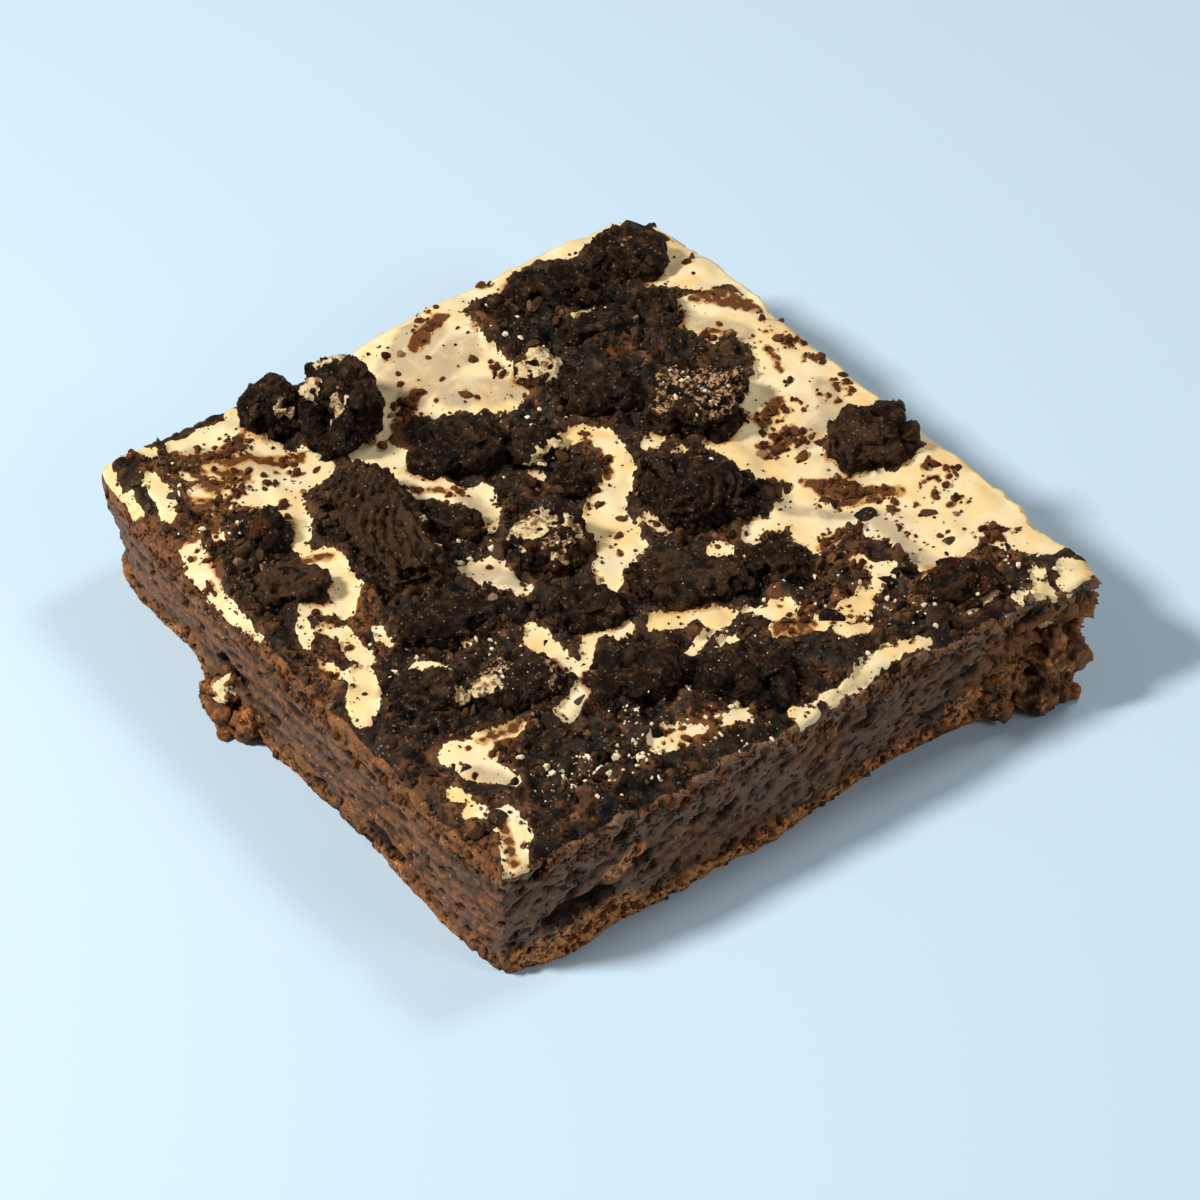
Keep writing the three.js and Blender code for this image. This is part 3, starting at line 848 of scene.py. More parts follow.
# Where they are dusted with pale crumb
SPECKLED = [
    (19.6, 9.6, 3.6, 26.4, 8.4, 4.6),
    (22.0, 4.0, 2.4, 27.0, 4.4, 2.4),
    (-9.0, -4.4, 1.0, -6.0, -5.0, 1.2),
    (-28.0, -18.6, 1.8, -25.4, -17.4, 2.0),
    (-22.0, -24.0, 1.0, -20.0, -22.0, 1.2),
    (14.0, 3.0, 0.8, 16.0, -2.0, 0.8),
    (32.0, 35.4, 0.8, 34.0, 36.4, 0.8),
]
RUSTY_PIECES = {
    "biscuit_piece_05": 0.5,
    "biscuit_piece_15": 1.0,
    "biscuit_piece_25": 0.7,
    "biscuit_piece_29": 0.6,
}

# %% Broken pieces of biscuit


def even_copy(source, cell):
    """A copy of a solid's mesh, cut into small even faces, with its edges softened."""
    thing = bpy.data.objects.new("copy", source.data.copy())
    bpy.context.scene.collection.objects.link(thing)
    cut = thing.modifiers.new("cut", "REMESH")
    cut.mode = "VOXEL"
    cut.voxel_size = cell * MM
    soften = thing.modifiers.new("soften", "SMOOTH")
    soften.factor = 0.5
    soften.iterations = 2
    shaped = thing.evaluated_get(bpy.context.evaluated_depsgraph_get())
    mesh = bpy.data.meshes.new_from_object(shaped)
    bpy.data.objects.remove(thing)
    return mesh


def places_and_normals(mesh):
    """A mesh's vertices in millimetres, and which way each faces."""
    places = np.empty(len(mesh.vertices) * 3)
    normals = np.empty(len(mesh.vertices) * 3, np.float32)
    mesh.vertices.foreach_get("co", places)
    mesh.vertex_normals.foreach_get("vector", normals)
    return places.reshape(-1, 3) / MM, normals.reshape(-1, 3).astype(float)


def broken_surface(p, facet, seed):
    """How far a broken biscuit's surface stands out, and how deep it lies in a pit."""
    grain, _ = grains(p, 0.6, seed + 2)
    hole, which = grains(p, 1.15, seed + 3)
    pit = (which > 0.66) * ease(0.55 - hole, 0, 0.3)
    coarse = np.clip(0.62 * facet * plates(p, facet, seed), -1.7, 0.3)
    fine = 0.34 * plates(p, 1.5, seed + 1) + 0.26 * (0.4 - grain * grain) + 0.10 * rough(p, 1.0, 2, seed)
    return coarse, fine - 0.3 * pit, pit


chunks = []
for number, name in enumerate(sorted(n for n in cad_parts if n.startswith("biscuit_piece"))):
    mesh = even_copy(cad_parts[name], CHUNK_CELL)
    p, normal = places_and_normals(mesh)
    reach = 0.25 * float((p.max(axis=0) - p.min(axis=0))[:2].sum())
    flat_top = ease(normal[:, 2], 0.75, 0.95)
    coarse, fine, pit = broken_surface(p, 0.75 * reach, 40 + 11 * number)
    out = coarse * (1 - (0.8 if name in FLAT else 0.3) * flat_top) + fine * (1 - 0.35 * flat_top)
    if name in RIDGED:
        at_x, at_y, pitch = RIDGED[name]
        rings = np.hypot(p[:, 0] - at_x, p[:, 1] - at_y) + 0.35 * noise(p, 2.4, 90)
        broken = ease(noise(p, 3.0, 91), -0.6, -0.2)
        out += RIDGE_HEIGHT * broken * ease(normal[:, 2], 0.3, 0.7) * np.sin(2 * math.pi * rings / pitch)
    p += normal * (out - 0.15)[:, None]
    mesh.vertices.foreach_set("co", (p * MM).ravel())
    facing_up = ease(normal[:, 2], -0.1, 0.4)
    speckled = ease(0.4 - outside(SPECKLED, p[:, 0], p[:, 1]) + 0.8 * noise(p, 2.0, 78), -0.4, 1.2)
    smear = ease(0.1 - outside(SMEARS, p[:, 0], p[:, 1]) + 0.9 * noise(p, 0.9, 77), -0.3, 0.3)
    uneven = 0.4 * noise(p, 5.0, 60) + 0.4 * noise(p, 1.2, 61)
    chunk_marks = {
        "pale": smear * facing_up * (1 - pit),
        "speckled": speckled * ease(normal[:, 2], -0.3, 0.3) * (1 - pit),
        # The tone is partly random and partly painted light: lighter on raised grain, with painted shade
        # in pits and painted sheen on the lighter pieces.
        "tone": LIGHTER_AND_SHEEN.get(name, 0.0) + uneven + 1.4 * fine - pit,
        "rust": RUSTY_PIECES.get(name, 0.12) * ease(noise(p, 2.5, 62), -0.5, 0.6),
    }
    chunk = dressed(name + "_dressed", mesh, biscuit_material, chunk_marks)
    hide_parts(name)
    chunks.append(chunk)
print(len(chunks), "pieces of biscuit")

# %% [markdown]
# For the cream and the crumbs, the nearest point of any piece of biscuit has to be found quickly,
# and so does the piece below a place, so all of the pieces go into one search tree.

# %% Where the biscuit is


def joined(things):
    """The vertices in millimetres and the faces of several meshes as one."""
    vertices, faces = [], []
    for thing in things:
        start = len(vertices)
        vertices.extend(v.co / MM for v in thing.data.vertices)
        faces.extend([start + i for i in polygon.vertices] for polygon in thing.data.polygons)
    return vertices, faces


biscuit_tree = BVHTree.FromPolygons(*joined(chunks))
ABOVE = 40


def biscuit_distance(p):
    """How far each place is from the nearest piece of biscuit, up to 6 mm."""
    found = (biscuit_tree.find_nearest(q, 6.0)[3] for q in p.tolist())
    return np.array([6.0 if d is None else d for d in found])


# %% [markdown]
# Dark crumbs that lie on open cream are placed where the eye notices them, alone or in
# loose clusters, and the cream is stained round each.

# %% Crumbs on the open cream
# Single ones: place and radius
SINGLE_CRUMBS = [
    (-3.0, 30.6, 0.8), (1.4, 26.8, 0.8), (2.3, 25.6, 0.5), (5.4, 30.6, 0.8), (7.0, 29.2, 0.5),
    (-6.0, 29.7, 0.6), (-6.6, 31.0, 0.5), (0.2, 30.4, 0.4), (-2.1, 28.3, 0.4), (-12.2, 25.4, 0.8),
    (-11.6, 28.2, 0.8), (-11.0, 28.9, 0.5), (1.0, 34.4, 0.4), (35.6, 19.0, 0.55), (32.9, 17.6, 0.6),
    (40.6, 16.4, 0.6), (40.2, 12.6, 0.8), (42.0, 7.0, 0.8), (43.0, 2.6, 0.7), (36.3, 5.3, 0.7),
    (29.0, -6.2, 0.9), (28.4, -6.6, 0.6), (39.6, -18.8, 1.0), (38.6, -18.6, 0.7), (30.8, -21.4, 1.0),
    (32.0, -20.6, 0.8), (36.6, -26.8, 0.5), (-32.6, 32.0, 0.7), (-29.0, 33.2, 0.7), (-27.8, 32.0, 0.6),
    (-27.0, 29.0, 0.8), (-26.0, 28.6, 0.6), (-22.8, 28.8, 0.8), (-24.0, 25.4, 0.6), (-30.6, 29.0, 0.6),
    (-24.8, 36.6, 0.6), (-27.2, 25.0, 0.8), (-29.0, 21.0, 0.6), (-20.6, 27.4, 0.5), (-13.2, 16.0, 0.6),
    (3.6, -2.8, 0.7), (1.2, -5.6, 0.8), (-0.6, -8.2, 0.6), (6.2, -6.6, 0.6), (-14.6, -0.8, 0.5),
    (-13.0, -5.4, 0.5), (-36.6, -29.0, 0.5), (-35.0, -25.2, 0.4), (8.6, -27.4, 0.4), (-39.0, -10.2, 0.4),
    (38.0, 1.4, 0.4), (43.4, 16.0, 0.5), (30.2, 44.0, 0.4), (-38.0, -40.6, 0.5), (24.6, -15.2, 0.3),
]

# Clusters: place, reach and how many crumbs
CLUSTERS = [
    (28.4, -1.6, 2.6, 26), (31.6, -3.4, 1.6, 14), (26.6, -3.0, 1.6, 16), (31.0, 2.4, 2.2, 24),
    (27.8, 3.4, 1.4, 14), (34.4, 1.0, 1.2, 9), (22.6, -9.0, 1.5, 18), (28.4, -14.4, 2.3, 46),
    (31.6, -18.2, 1.8, 22), (37.4, -21.6, 1.7, 18), (40.4, -21.4, 1.2, 10), (38.2, -25.5, 1.3, 11),
    (37.4, -32.2, 2.2, 40), (40.2, -33.0, 1.2, 14), (41.4, 11.0, 1.6, 22), (41.8, 7.4, 1.6, 20),
    (41.6, 1.6, 1.4, 14), (33.6, 18.0, 1.4, 9), (34.6, 15.8, 1.2, 8), (7.6, 6.8, 1.5, 18),
    (-6.0, 30.0, 1.8, 22), (-30.6, 36.8, 2.4, 22), (-22.0, 31.6, 1.3, 14), (-30.6, 31.6, 1.8, 10),
    (-36.6, -1.7, 1.4, 12), (-31.6, -28.2, 2.0, 22), (-33.4, 29.0, 1.6, 12), (5.6, 41.4, 2.0, 16),
    (15.6, 43.2, 1.0, 10), (8.0, -31.4, 1.6, 16), (13.6, -33.0, 2.4, 26), (21.6, -21.2, 1.8, 18),
    (20.6, -28.0, 1.6, 14), (-40.4, 22.4, 2.0, 16), (-42.6, 17.0, 1.0, 6), (-15.0, -38.0, 2.2, 18),
    (3.0, 2.0, 1.4, 8), (-10.6, 12.8, 1.0, 8), (-35.4, 4.0, 1.8, 14), (-40.4, -5.0, 1.6, 12),
    (-6.4, 28.6, 2.0, 22), (3.4, 38.6, 1.9, 22), (-1.0, 35.0, 4.0, 6), (6.6, 27.4, 1.0, 9),
    (-31.0, 30.6, 2.4, 12), (-25.0, 29.0, 3.0, 8), (-33.6, 37.0, 1.6, 26), (-28.0, 37.0, 2.0, 22),
    (39.6, 13.0, 2.6, 16), (40.0, 1.0, 2.4, 12), (34.0, -26.0, 5.0, 10), (29.0, -2.6, 2.0, 16),
    (29.6, -15.6, 2.4, 40), (38.0, 32.0, 4.0, 6),
    (24.8, -22.4, 1.6, 14), (-28.4, 24.6, 1.2, 7), (9.0, 12.0, 1.0, 9), (-38.6, 42.0, 1.2, 8),
]
draw = np.random.default_rng(7)
placed_crumbs = [np.array(SINGLE_CRUMBS)]
for x, y, reach, count in CLUSTERS:
    angle = draw.uniform(0, 2 * math.pi, count)
    away = reach * np.sqrt(draw.uniform(0, 1, count))
    radius = 0.14 + 0.62 * draw.uniform(0, 1, count) ** 2.6
    placed_crumbs.append(np.stack([x + away * np.cos(angle), y + away * np.sin(angle), radius], 1))
placed_crumbs = np.concatenate(placed_crumbs)
print(len(placed_crumbs), "crumbs on open cream")

# %% [markdown]
# The upper surface. Bare cream is smooth, with soft folds, and climbs at the biscuit. The bed of
# crumb stands on it: clumps as large as a pea, plates that are tilted, and grains on those.

# %% Relief and marks of the upper surface
BED_THICKNESS = 0.25
CLIMB = 0.5
CLIMB_REACH = 0.8

# Where the crumb of the bed is red-brown, soaked with cream
RUSTY_BED = [
    (-40.0, 26.0, 2.4, -30.0, 25.0, 2.2),
    (-43.0, 32.0, 1.4, -43.4, 20.0, 1.2),
    (-38.0, 38.0, 1.2, -36.0, 30.0, 1.4),
    (-42.0, -6.0, 1.6, -41.0, 0.0, 1.2),
    (-40.0, -28.0, 1.4, -42.0, -40.0, 1.4),
    (15.0, -27.0, 1.4, 21.0, -24.6, 1.2),
    (10.0, -31.0, 1.4, 20.0, -31.6, 1.2),
    (30.0, -36.0, 2.2, 41.0, -35.0, 2.4),
    (20.0, -36.0, 1.4, 30.0, -34.0, 1.2),
    (26.0, -10.6, 1.0, 33.0, -19.0, 2.2),
    (-14.0, -38.0, 1.6, -6.0, -39.0, 1.6),
    (-30.0, 4.0, 1.6, -36.0, -2.0, 1.8),
    (21.0, 21.4, 0.5, 23.6, 22.4, 0.6),
]


def stain(x, y):
    """How brown the cream is at crumbs that lie on it, in uneven blots."""
    flat = np.stack([x, y, np.zeros(len(x))], 1)
    x, y = x + 0.35 * noise(flat, 0.9, 7), y + 0.35 * noise(flat, 0.9, 8)
    brown = np.zeros(len(x))
    for at_x, at_y, radius in placed_crumbs:
        close = np.abs(x - at_x) + np.abs(y - at_y) < 3
        away = np.hypot(x[close] - at_x, y[close] - at_y) - 0.6 * radius
        brown[close] = np.maximum(brown[close], 0.8 * np.exp(-np.clip(away, 0, None) / 0.15))
    return brown


def upper(x, y):
    """Height of the upper surface, and its marks: crumb and its fringe, stains, painted shade in
    the low places of the bed of crumb, and how red the bed is."""
    flat = np.stack([x, y, np.zeros(len(x))], 1)
    bare = outside(CREAM_STROKES, x, y) - 0.25 + 0.45 * noise(flat, 1.7, 5) + 0.32 * noise(flat, 0.7, 6)
    cover = ease(bare, -0.10, 0.22)
    clump, size = grains(flat, 3.6, 21)
    grain, _ = grains(flat, 0.9, 22)
    bed = BED_THICKNESS + 1.5 * (0.45 - clump * clump) * (0.4 + size) + 0.3 * (0.5 - grain * grain)
    bed += 1.3 * plates(flat, 2.4, 28) + 0.6 * plates(flat, 1.05, 29) + 0.15 * rough(flat, 1.2, 3, 23)
    bed *= 1 - 0.6 * ease(np.maximum(np.abs(x), np.abs(y)) / HALF, 0.92, 0.99)
    # Painted shade: the low places of the bed, between its clumps, are darkened in colour.
    gap_shade = cover * ease(BED_THICKNESS - bed, -0.1, 0.9)
    low = cream_height(x, y)
    near = biscuit_distance(np.stack([x, y, low], 1))
    fold = 0.65 * noise(flat, 7.0, 24) + 0.28 * noise(flat, 2.8, 25)
    smooth = fold + CLIMB * np.exp(-near / CLIMB_REACH)
    patch = ease(0.2 - outside(BROWN_STROKES, x, y) + 0.5 * noise(flat, 1.1, 26), -0.5, 0.5)
    mottled = 0.62 + 0.55 * ease(noise(flat, 1.0, 31), -0.45, 0.25)
    brown = np.maximum(np.maximum(stain(x, y), 0.8 * np.exp(-near / 0.4)), mottled * patch)
    grey = ease(0.3 - outside(GREY_STROKES, x, y) + 0.4 * noise(flat, 1.5, 27), -0.8, 0.6)
    fringe = np.maximum(np.exp(np.clip(bare, None, 0) / 0.7), np.maximum(np.exp(-near / 0.9), patch))
    soaked = ease(0.6 - outside(RUSTY_BED, x, y) + 0.8 * noise(flat, 1.5, 30), -0.8, 0.8)
    rusty = np.maximum(soaked, 0.6 * np.exp(-np.clip(bare, 0, None) / 0.5))
    marks = {"cover": cover, "fringe": fringe, "brown": brown, "grey": grey, "gap_shade": gap_shade, "rusty": rusty}
    return low + smooth * (1 - cover) + np.maximum(bed, -0.7) * cover, marks


def softened(height, times):
    """A grid of heights whose sharpest spikes are worn down; its outermost places stay."""
    for _ in range(times):
        around = height[:-2, 1:-1] + height[2:, 1:-1] + height[1:-1, :-2] + height[1:-1, 2:]
        height[1:-1, 1:-1] = (2 * height[1:-1, 1:-1] + around) / 6
    return height


# %% [markdown]
# The cut faces. A knife pulled through the crumb leaves a smeared skin with many small pores,
# drawn out along its path, and a crumbly band near the underside where the skin is torn.

# %% Relief and marks of the cut faces
RIGHT_SLANT = math.radians(28)
LEFT_SLANT = math.radians(-6)
PORE_STRETCH = 1.9

# Hollows: their place on a cut face, half their length and height, and their depth; each is dug into the
# face and painted dark as shade
HOLLOWS = [
    (-32.6, -44, 6.0, 5.6, 1.7, 2.2),
    (-23.5, -44, 8.6, 1.6, 1.0, 1.0),
    (-44, 12.0, 6.6, 3.4, 1.6, 2.2),
    (8.5, -44, 10.6, 1.5, 0.8, 1.1),
    (22.0, -44, 4.4, 4.0, 0.9, 1.0),
    (-44, -20.0, 3.2, 4.0, 1.0, 1.0),
]

# Lighter red-brown crumb on the face that looks along -Y, as strokes along it and up it
RUSTY = [
    (-39.0, 1.8, 2.2, -26.0, 2.4, 2.0),
    (-28.0, 9.2, 1.2, -25.0, 10.2, 1.2),
    (26.0, 3.0, 3.0, 42.0, 6.0, 4.0),
    (-30.0, 0.6, 1.0, 20.0, 0.6, 1.2),
]


def cut_relief(p, on_x):
    """How far the cut stands out, how much painted shade its pores, pits and hollows get, and how
    loose the crumb is, at places of a cut face; on_x says which places lie on a face that looks along X."""
    along = np.where(on_x, p[:, 1], p[:, 0])
    slant = np.where(on_x, LEFT_SLANT, RIGHT_SLANT)
    drawn = along * np.cos(slant) + p[:, 2] * np.sin(slant)
    across = p[:, 2] * np.cos(slant) - along * np.sin(slant)
    q = np.stack([drawn / PORE_STRETCH, across, np.where(on_x, 50.0, 0.0)], 1)
    large, which = grains(q, 2.3, 31)
    small, other = grains(q, 1.0, 32)
    owner = np.floor(which * 999)[:, None] * np.array([1, 3, 7])
    wide = np.where(on_x, 0.17, 0.22) + 0.22 * chance(owner, 5)
    pore = (which > 0.52) * ease(wide - large, 0, 0.07)
    pit = (other > np.where(on_x, 0.55, 0.30)) * ease(0.36 - small, 0, 0.14)
    loose = ease(3.2 - p[:, 2] + 1.8 * noise(p, 4.5, 33), -0.8, 1.4)
    torn = ease(p[:, 0] + 3.0 * noise(p, 6.0, 43), 22, 30) * (p[:, 1] < -25)
    loose = np.maximum(loose, torn)
    lump, _ = grains(p, 1.7, 34)
    grain, _ = grains(p, 0.75, 35)
    crumbly = 0.55 * (0.5 - lump * lump) + 0.35 * (0.4 - grain * grain) + 0.5 * plates(p, 1.2, 39)
    crumbly = crumbly * (1 + 0.8 * torn) + 0.9 * torn * plates(p, 3.0, 44)
    skin = 0.14 * rough(q, 1.6, 3, 36) + 0.12 * np.sin(across * 2.6 + 2.0 * noise(p, 7.0, 37))
    skin += plates(q, 1.1, 40) * np.where(on_x, 0.20, 0.08) + 0.16 * rough(q, 5.0, 2, 45)
    hollow = np.zeros(len(p))
    for x, y, z, half, high, shaded_depth in HOLLOWS:
        away = np.where(on_x, p[:, 1] - y, p[:, 0] - x) / half
        side = np.where(on_x, np.sign(x) == np.sign(p[:, 0]), np.sign(y) == np.sign(p[:, 1]))
        side = side & (np.abs(np.where(on_x, x, y)) > 43)
        t = away**2 + ((p[:, 2] - z) / high) ** 2 + 0.5 * noise(p, 1.8, 38)
        hollow = np.maximum(hollow, shaded_depth * side * ease(1.2 - t, 0, 0.8))
    out = skin * (1 - loose) + crumbly * loose - 1.0 * pore - 0.6 * pit * (1 - 0.4 * loose) - hollow
    out *= (1 - 0.6 * ease(p[:, 2], 13.5, 15.5)) * (0.35 + 0.65 * ease(p[:, 2], 0.2, 1.6))
    # Painted shade: pores, pits and hollows are darkened in colour, as if shade fell in them.
    shaded_depth = np.clip(pore + pit + ease(hollow, 0.2, 0.9), 0, 1)
    return out, shaded_depth, loose


# %% [markdown]
# One builder makes both layers. It walks round the square in rings from the foot of a cut face to
# its head and closes the mesh below with one large face. The cream's head is a fine grid that
# carries the relief above. The base's head is hidden, so one large face closes it.

# %% The two layers


def ring(count):
    """The grid places of one walk round the square, in order."""
    t = np.arange(count) / count * 2 - 1
    one = np.ones(count)
    return np.concatenate([t, one, -t, -one]), np.concatenate([-one, t, one, -t])


def bent(u, v, share, lower, higher, worn):
    """Places of a layer for grid places, with the relief of the cut faces, and its marks."""
    x, y = outline(u, v)
    edge = np.maximum(np.abs(u), np.abs(v))
    rim = edge**RIM_POWER
    high = higher - worn * rim
    z = lower + (high - lower) * share
    on_x = np.abs(u) >= np.abs(v)
    fine, shaded_depth, loose = cut_relief(np.stack([x, y, z], 1), on_x)
    near_edge = ease(edge, 0.985, 1.0)
    out = rim * (face_relief(x, y, z) - (share == 1) * worn) + near_edge * fine
    away = np.hypot(u**9, v**9)
    away = np.where(away > 0, away, 1)
    places = np.stack([x + out * u**9 / away, y + out * v**9 / away, z], 1)
    return places, shaded_depth * near_edge, loose * near_edge, near_edge * fine


def bands(first, second):
    """Four-sided faces between two rings of vertex numbers."""
    return np.stack([first, np.roll(first, -1), np.roll(second, -1), second], 1).tolist()


BASE_CELLS, BASE_ROWS = 288, 46
u, v = ring(BASE_CELLS)
rows = np.repeat(np.linspace(0, 1, BASE_ROWS + 1), len(u))
u, v = np.tile(u, BASE_ROWS + 1), np.tile(v, BASE_ROWS + 1)
x, y = outline(u, v)
places, shaded_depth, loose, fine = bent(u, v, rows, np.zeros(len(u)), seam_height(x, y), 0)
places[:, 2] = np.clip(places[:, 2], 0, None)
number = np.arange(len(u)).reshape(BASE_ROWS + 1, -1)
faces = [face for j in range(BASE_ROWS) for face in bands(number[j], number[j + 1])]
faces += [number[0][::-1].tolist(), number[-1].tolist()]
on_x = np.abs(u) >= np.abs(v)
along = np.where(on_x, -99, x) * (v < 0) + np.where(v < 0, 0, -99)
rust = ease(0.4 - outside(RUSTY, along, places[:, 2]) + 0.6 * noise(places, 1.2, 41), -0.6, 0.6)
in_spots = 0.35 + 0.65 * ease(noise(places, 5.0, 46), -0.5, 0.4)
rust = np.maximum(rust, loose * np.where(places[:, 2] < 4, 0.75, 0.35) * in_spots)
# The polished skin, most of all on the face that looks along -Y, is painted grey: a knife smear with
# painted sheen.
polish = np.where(on_x, 0.55, 1.0) * (1 - loose) * ease(noise(places, 9.0, 42), -0.9, 0.3)
# The mark of pores and hollows is painted shade, and the mark of raised relief is painted light.
base_marks = {"shaded_depth": shaded_depth, "rust": rust, "polish": polish, "raised_lit": np.clip(0.5 + fine, 0, 1)}

# %% Finish of the base
DARK_CRUMB = (0.030, 0.012, 0.005)
WARM_CRUMB = (0.26, 0.105, 0.036)
# The grey below is the knife-smeared skin together with painted sheen.
GREY_SMEAR_SHEEN = (0.190, 0.121, 0.080)
RUST_CRUMB = (0.78, 0.32, 0.105)
# The near black below is painted shade for pores, pits and hollows.
PORE_SHADE = (0.010, 0.004, 0.002)
DRAWN_OUT = (1, 0.16, 1)
AT_A_SLANT = (0.7, 0.7, 1.1)


def brownie_look(finish, rust, polish, shaded_depth, raised_lit):
    """Colour, roughness and height of the chocolate crumb, from its marks: painted light on raised
    relief, painted shade in pores and hollows, and painted sheen on the polished skin.
    """
    drawn = finish.noise(1.1, 3.0, 0.6, DRAWN_OUT)
    # Raised relief is painted lighter: painted light.
    patchy = (0.5 * finish.noise(1.0, 5.0, 0.7) + 0.25 * drawn + 0.35 * raised_lit).over(0.42, 0.70)
    colour = patchy.mix(DARK_CRUMB, WARM_CRUMB)
    # The polished skin turns grey: knife smear and painted sheen.
    colour = (0.8 * polish * finish.noise(3.0, 3.0).over(0.3, 0.6)).mix(colour, GREY_SMEAR_SHEEN)
    clustered = finish.noise(2.6, 4.0).over(0.44, 0.62)
    warm = 0.85 * rust.over(0.35, 1.1) * finish.noise(0.7, 4.0, 0.65).over(0.42, 0.58)
    colour = warm.mix(colour, RUST_CRUMB)
    grains_lit = finish.specks(0.55, 0.6) * rust.over(0.3, 1.0) + finish.specks(0.42, 0.10) * clustered
    colour = (0.7 * grains_lit.clipped()).mix(colour, RUST_CRUMB)
    # Pores, pits and hollows are painted near black: painted shade.
    pores = polish * finish.noise(0.75, 2.0, 0.5, AT_A_SLANT).over(0.59, 0.63)
    colour = (0.92 * (shaded_depth + pores).clipped()).mix(colour, PORE_SHADE)
    height = finish.noise(0.4, 4.0, 0.7) + 0.5 * (1 - finish.cells(0.45)) - 1.6 * pores
    roughness = 0.55 - 0.15 * polish + 0.3 * (finish.noise(0.7, 2.0) - 0.5)
    return colour, roughness, height


crumb_finish = Finish("chocolate_crumb")
marks = [crumb_finish.mark(name) for name in ("rust", "polish", "shaded_depth", "raised_lit")]
colour, roughness, height = brownie_look(crumb_finish, *marks)
smeared = (crumb_finish.mark("pale") + 0.5 * (crumb_finish.noise(0.6, 3.0) - 0.5)).over(0.42, 0.58)
base_material = crumb_finish.set(
    Base_Color=smeared.mix(colour, PALE_CREAM),
    Roughness=roughness,
    Normal=crumb_finish.bump(height, 0.22),
    Specular_IOR_Level=0.16,
)
base = piece("brownie_base_dressed", places, faces, base_material, base_marks)
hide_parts("brownie_base")

# %% [markdown]
# Baked cream is ivory where it is thick and yellower at a cut. Light enters it a little way, so
# it gets some light scattered below its skin. Under the marks it turns brown, grey or to crumb.

# %% Finish of the cream
IVORY = (0.82, 0.70, 0.43)
WARM_IVORY = (0.80, 0.58, 0.27)
WHITE_FILM = (0.80, 0.74, 0.56)
CUT_YELLOW = (0.76, 0.52, 0.17)
TAN_HALO = (0.50, 0.22, 0.050)
BLED_BROWN = (0.088, 0.022, 0.002)
FILM_GREY = (0.34, 0.27, 0.185)
RUSTY_CRUMB = (0.22, 0.082, 0.024)

cream = Finish("baked_cream")
dragged_marks = [cream.mark(name) for name in ("rust", "polish", "shaded_depth", "raised_lit")]
base_colour, base_rough, base_high = brownie_look(cream, *dragged_marks)
bed_colour, bed_rough, bed_high = biscuit_look(cream, 0.5 * (cream.noise(6.0) - 0.5))
bed_colour = (0.5 * cream.noise(4.0, 4.0).over(0.55, 0.70)).mix(bed_colour, WARM_CRUMB)
reddened = cream.mark("rusty") * cream.noise(0.8, 4.0, 0.65).over(0.40, 0.58)
bed_colour = (0.85 * reddened).mix(bed_colour, RUSTY_CRUMB)
# Painted shade darkens the low places of the bed.
bed_colour = (0.85 * cream.mark("gap_shade")).mix(bed_colour, DARK_BISCUIT)
skin = cream.noise(5.0, 3.0).over(0.38, 0.66).mix(IVORY, WARM_IVORY)
skin = (0.5 * cream.noise(8.0, 2.0).over(0.42, 0.74)).mix(skin, WHITE_FILM)
skin = (cream.mark("cut") * cream.noise(1.6, 4.0).over(0.15, 0.65)).mix(skin, CUT_YELLOW)
skin = (0.7 * cream.mark("grey") * cream.noise(2.4, 4.0).over(0.12, 0.58)).mix(skin, FILM_GREY)
bled = cream.mark("brown") + 0.4 * (cream.noise(0.7, 3.0) - 0.5)
skin = (0.75 * bled.over(0.12, 0.5)).mix(skin, TAN_HALO)
skin = (0.92 * bled.over(0.5, 0.85)).mix(skin, BLED_BROWN)
dust = cream.specks(0.35, 0.03, 0.35) + cream.specks(0.42, 0.28) * cream.mark("fringe").over(0.25, 0.8)
skin = (0.9 * dust.clipped()).mix(skin, BLED_BROWN)
covered = (cream.mark("cover") + 0.35 * (cream.noise(0.5, 2.0) - 0.5)).over(0.44, 0.56)
dragged = (cream.mark("dragged") + 0.3 * (cream.noise(0.6, 3.0) - 0.5)).over(0.42, 0.58)
colour = dragged.mix(covered.mix(skin, bed_colour), base_colour)
crumbly = (covered + dragged + 0.6 * bled.over(0.5, 0.9)).clipped()
roughness = 0.36 + crumbly * (0.5 * (base_rough + bed_rough) - 0.36) + 0.10 * cream.noise(1.2)
height = crumbly * (bed_high + base_high) * 0.6 + 0.22 * cream.noise(0.9, 2.0)
cream_material = cream.set(
    Base_Color=colour,
    Roughness=roughness,
    Normal=cream.bump(height, 0.18),
    Specular_IOR_Level=0.18,
    Subsurface_Weight=0.10,
    Subsurface_Radius=(1.0, 0.7, 0.4),
    Subsurface_Scale=1.0 * MM,
)

# %% The cream
CREAM_CELLS, CREAM_ROWS = 292, 8
RIM_CRUMBLED = 0.9
line = np.linspace(-1, 1, CREAM_CELLS + 1)
grid_u, grid_v = [a.ravel() for a in np.meshgrid(line, line, indexing="ij")]
ring_u, ring_v = ring(CREAM_CELLS)
side_share = np.repeat(np.arange(CREAM_ROWS) / CREAM_ROWS, len(ring_u))
u = np.concatenate([grid_u, np.tile(ring_u, CREAM_ROWS)])
v = np.concatenate([grid_v, np.tile(ring_v, CREAM_ROWS)])
share = np.concatenate([np.ones(len(grid_u)), side_share])
x, y = outline(u, v)
high, upper_marks = upper(x, y)
cover = upper_marks["cover"]
high[:len(grid_u)] = softened(high[:len(grid_u)].reshape(CREAM_CELLS + 1, -1), 2).ravel()
flat = np.stack([x, y, np.zeros(len(x))], 1)
high -= RIM_CRUMBLED * ease(np.maximum(-u, -v), 0.95, 1.0) * (0.7 + 1.2 * noise(flat, 3.2, 52))
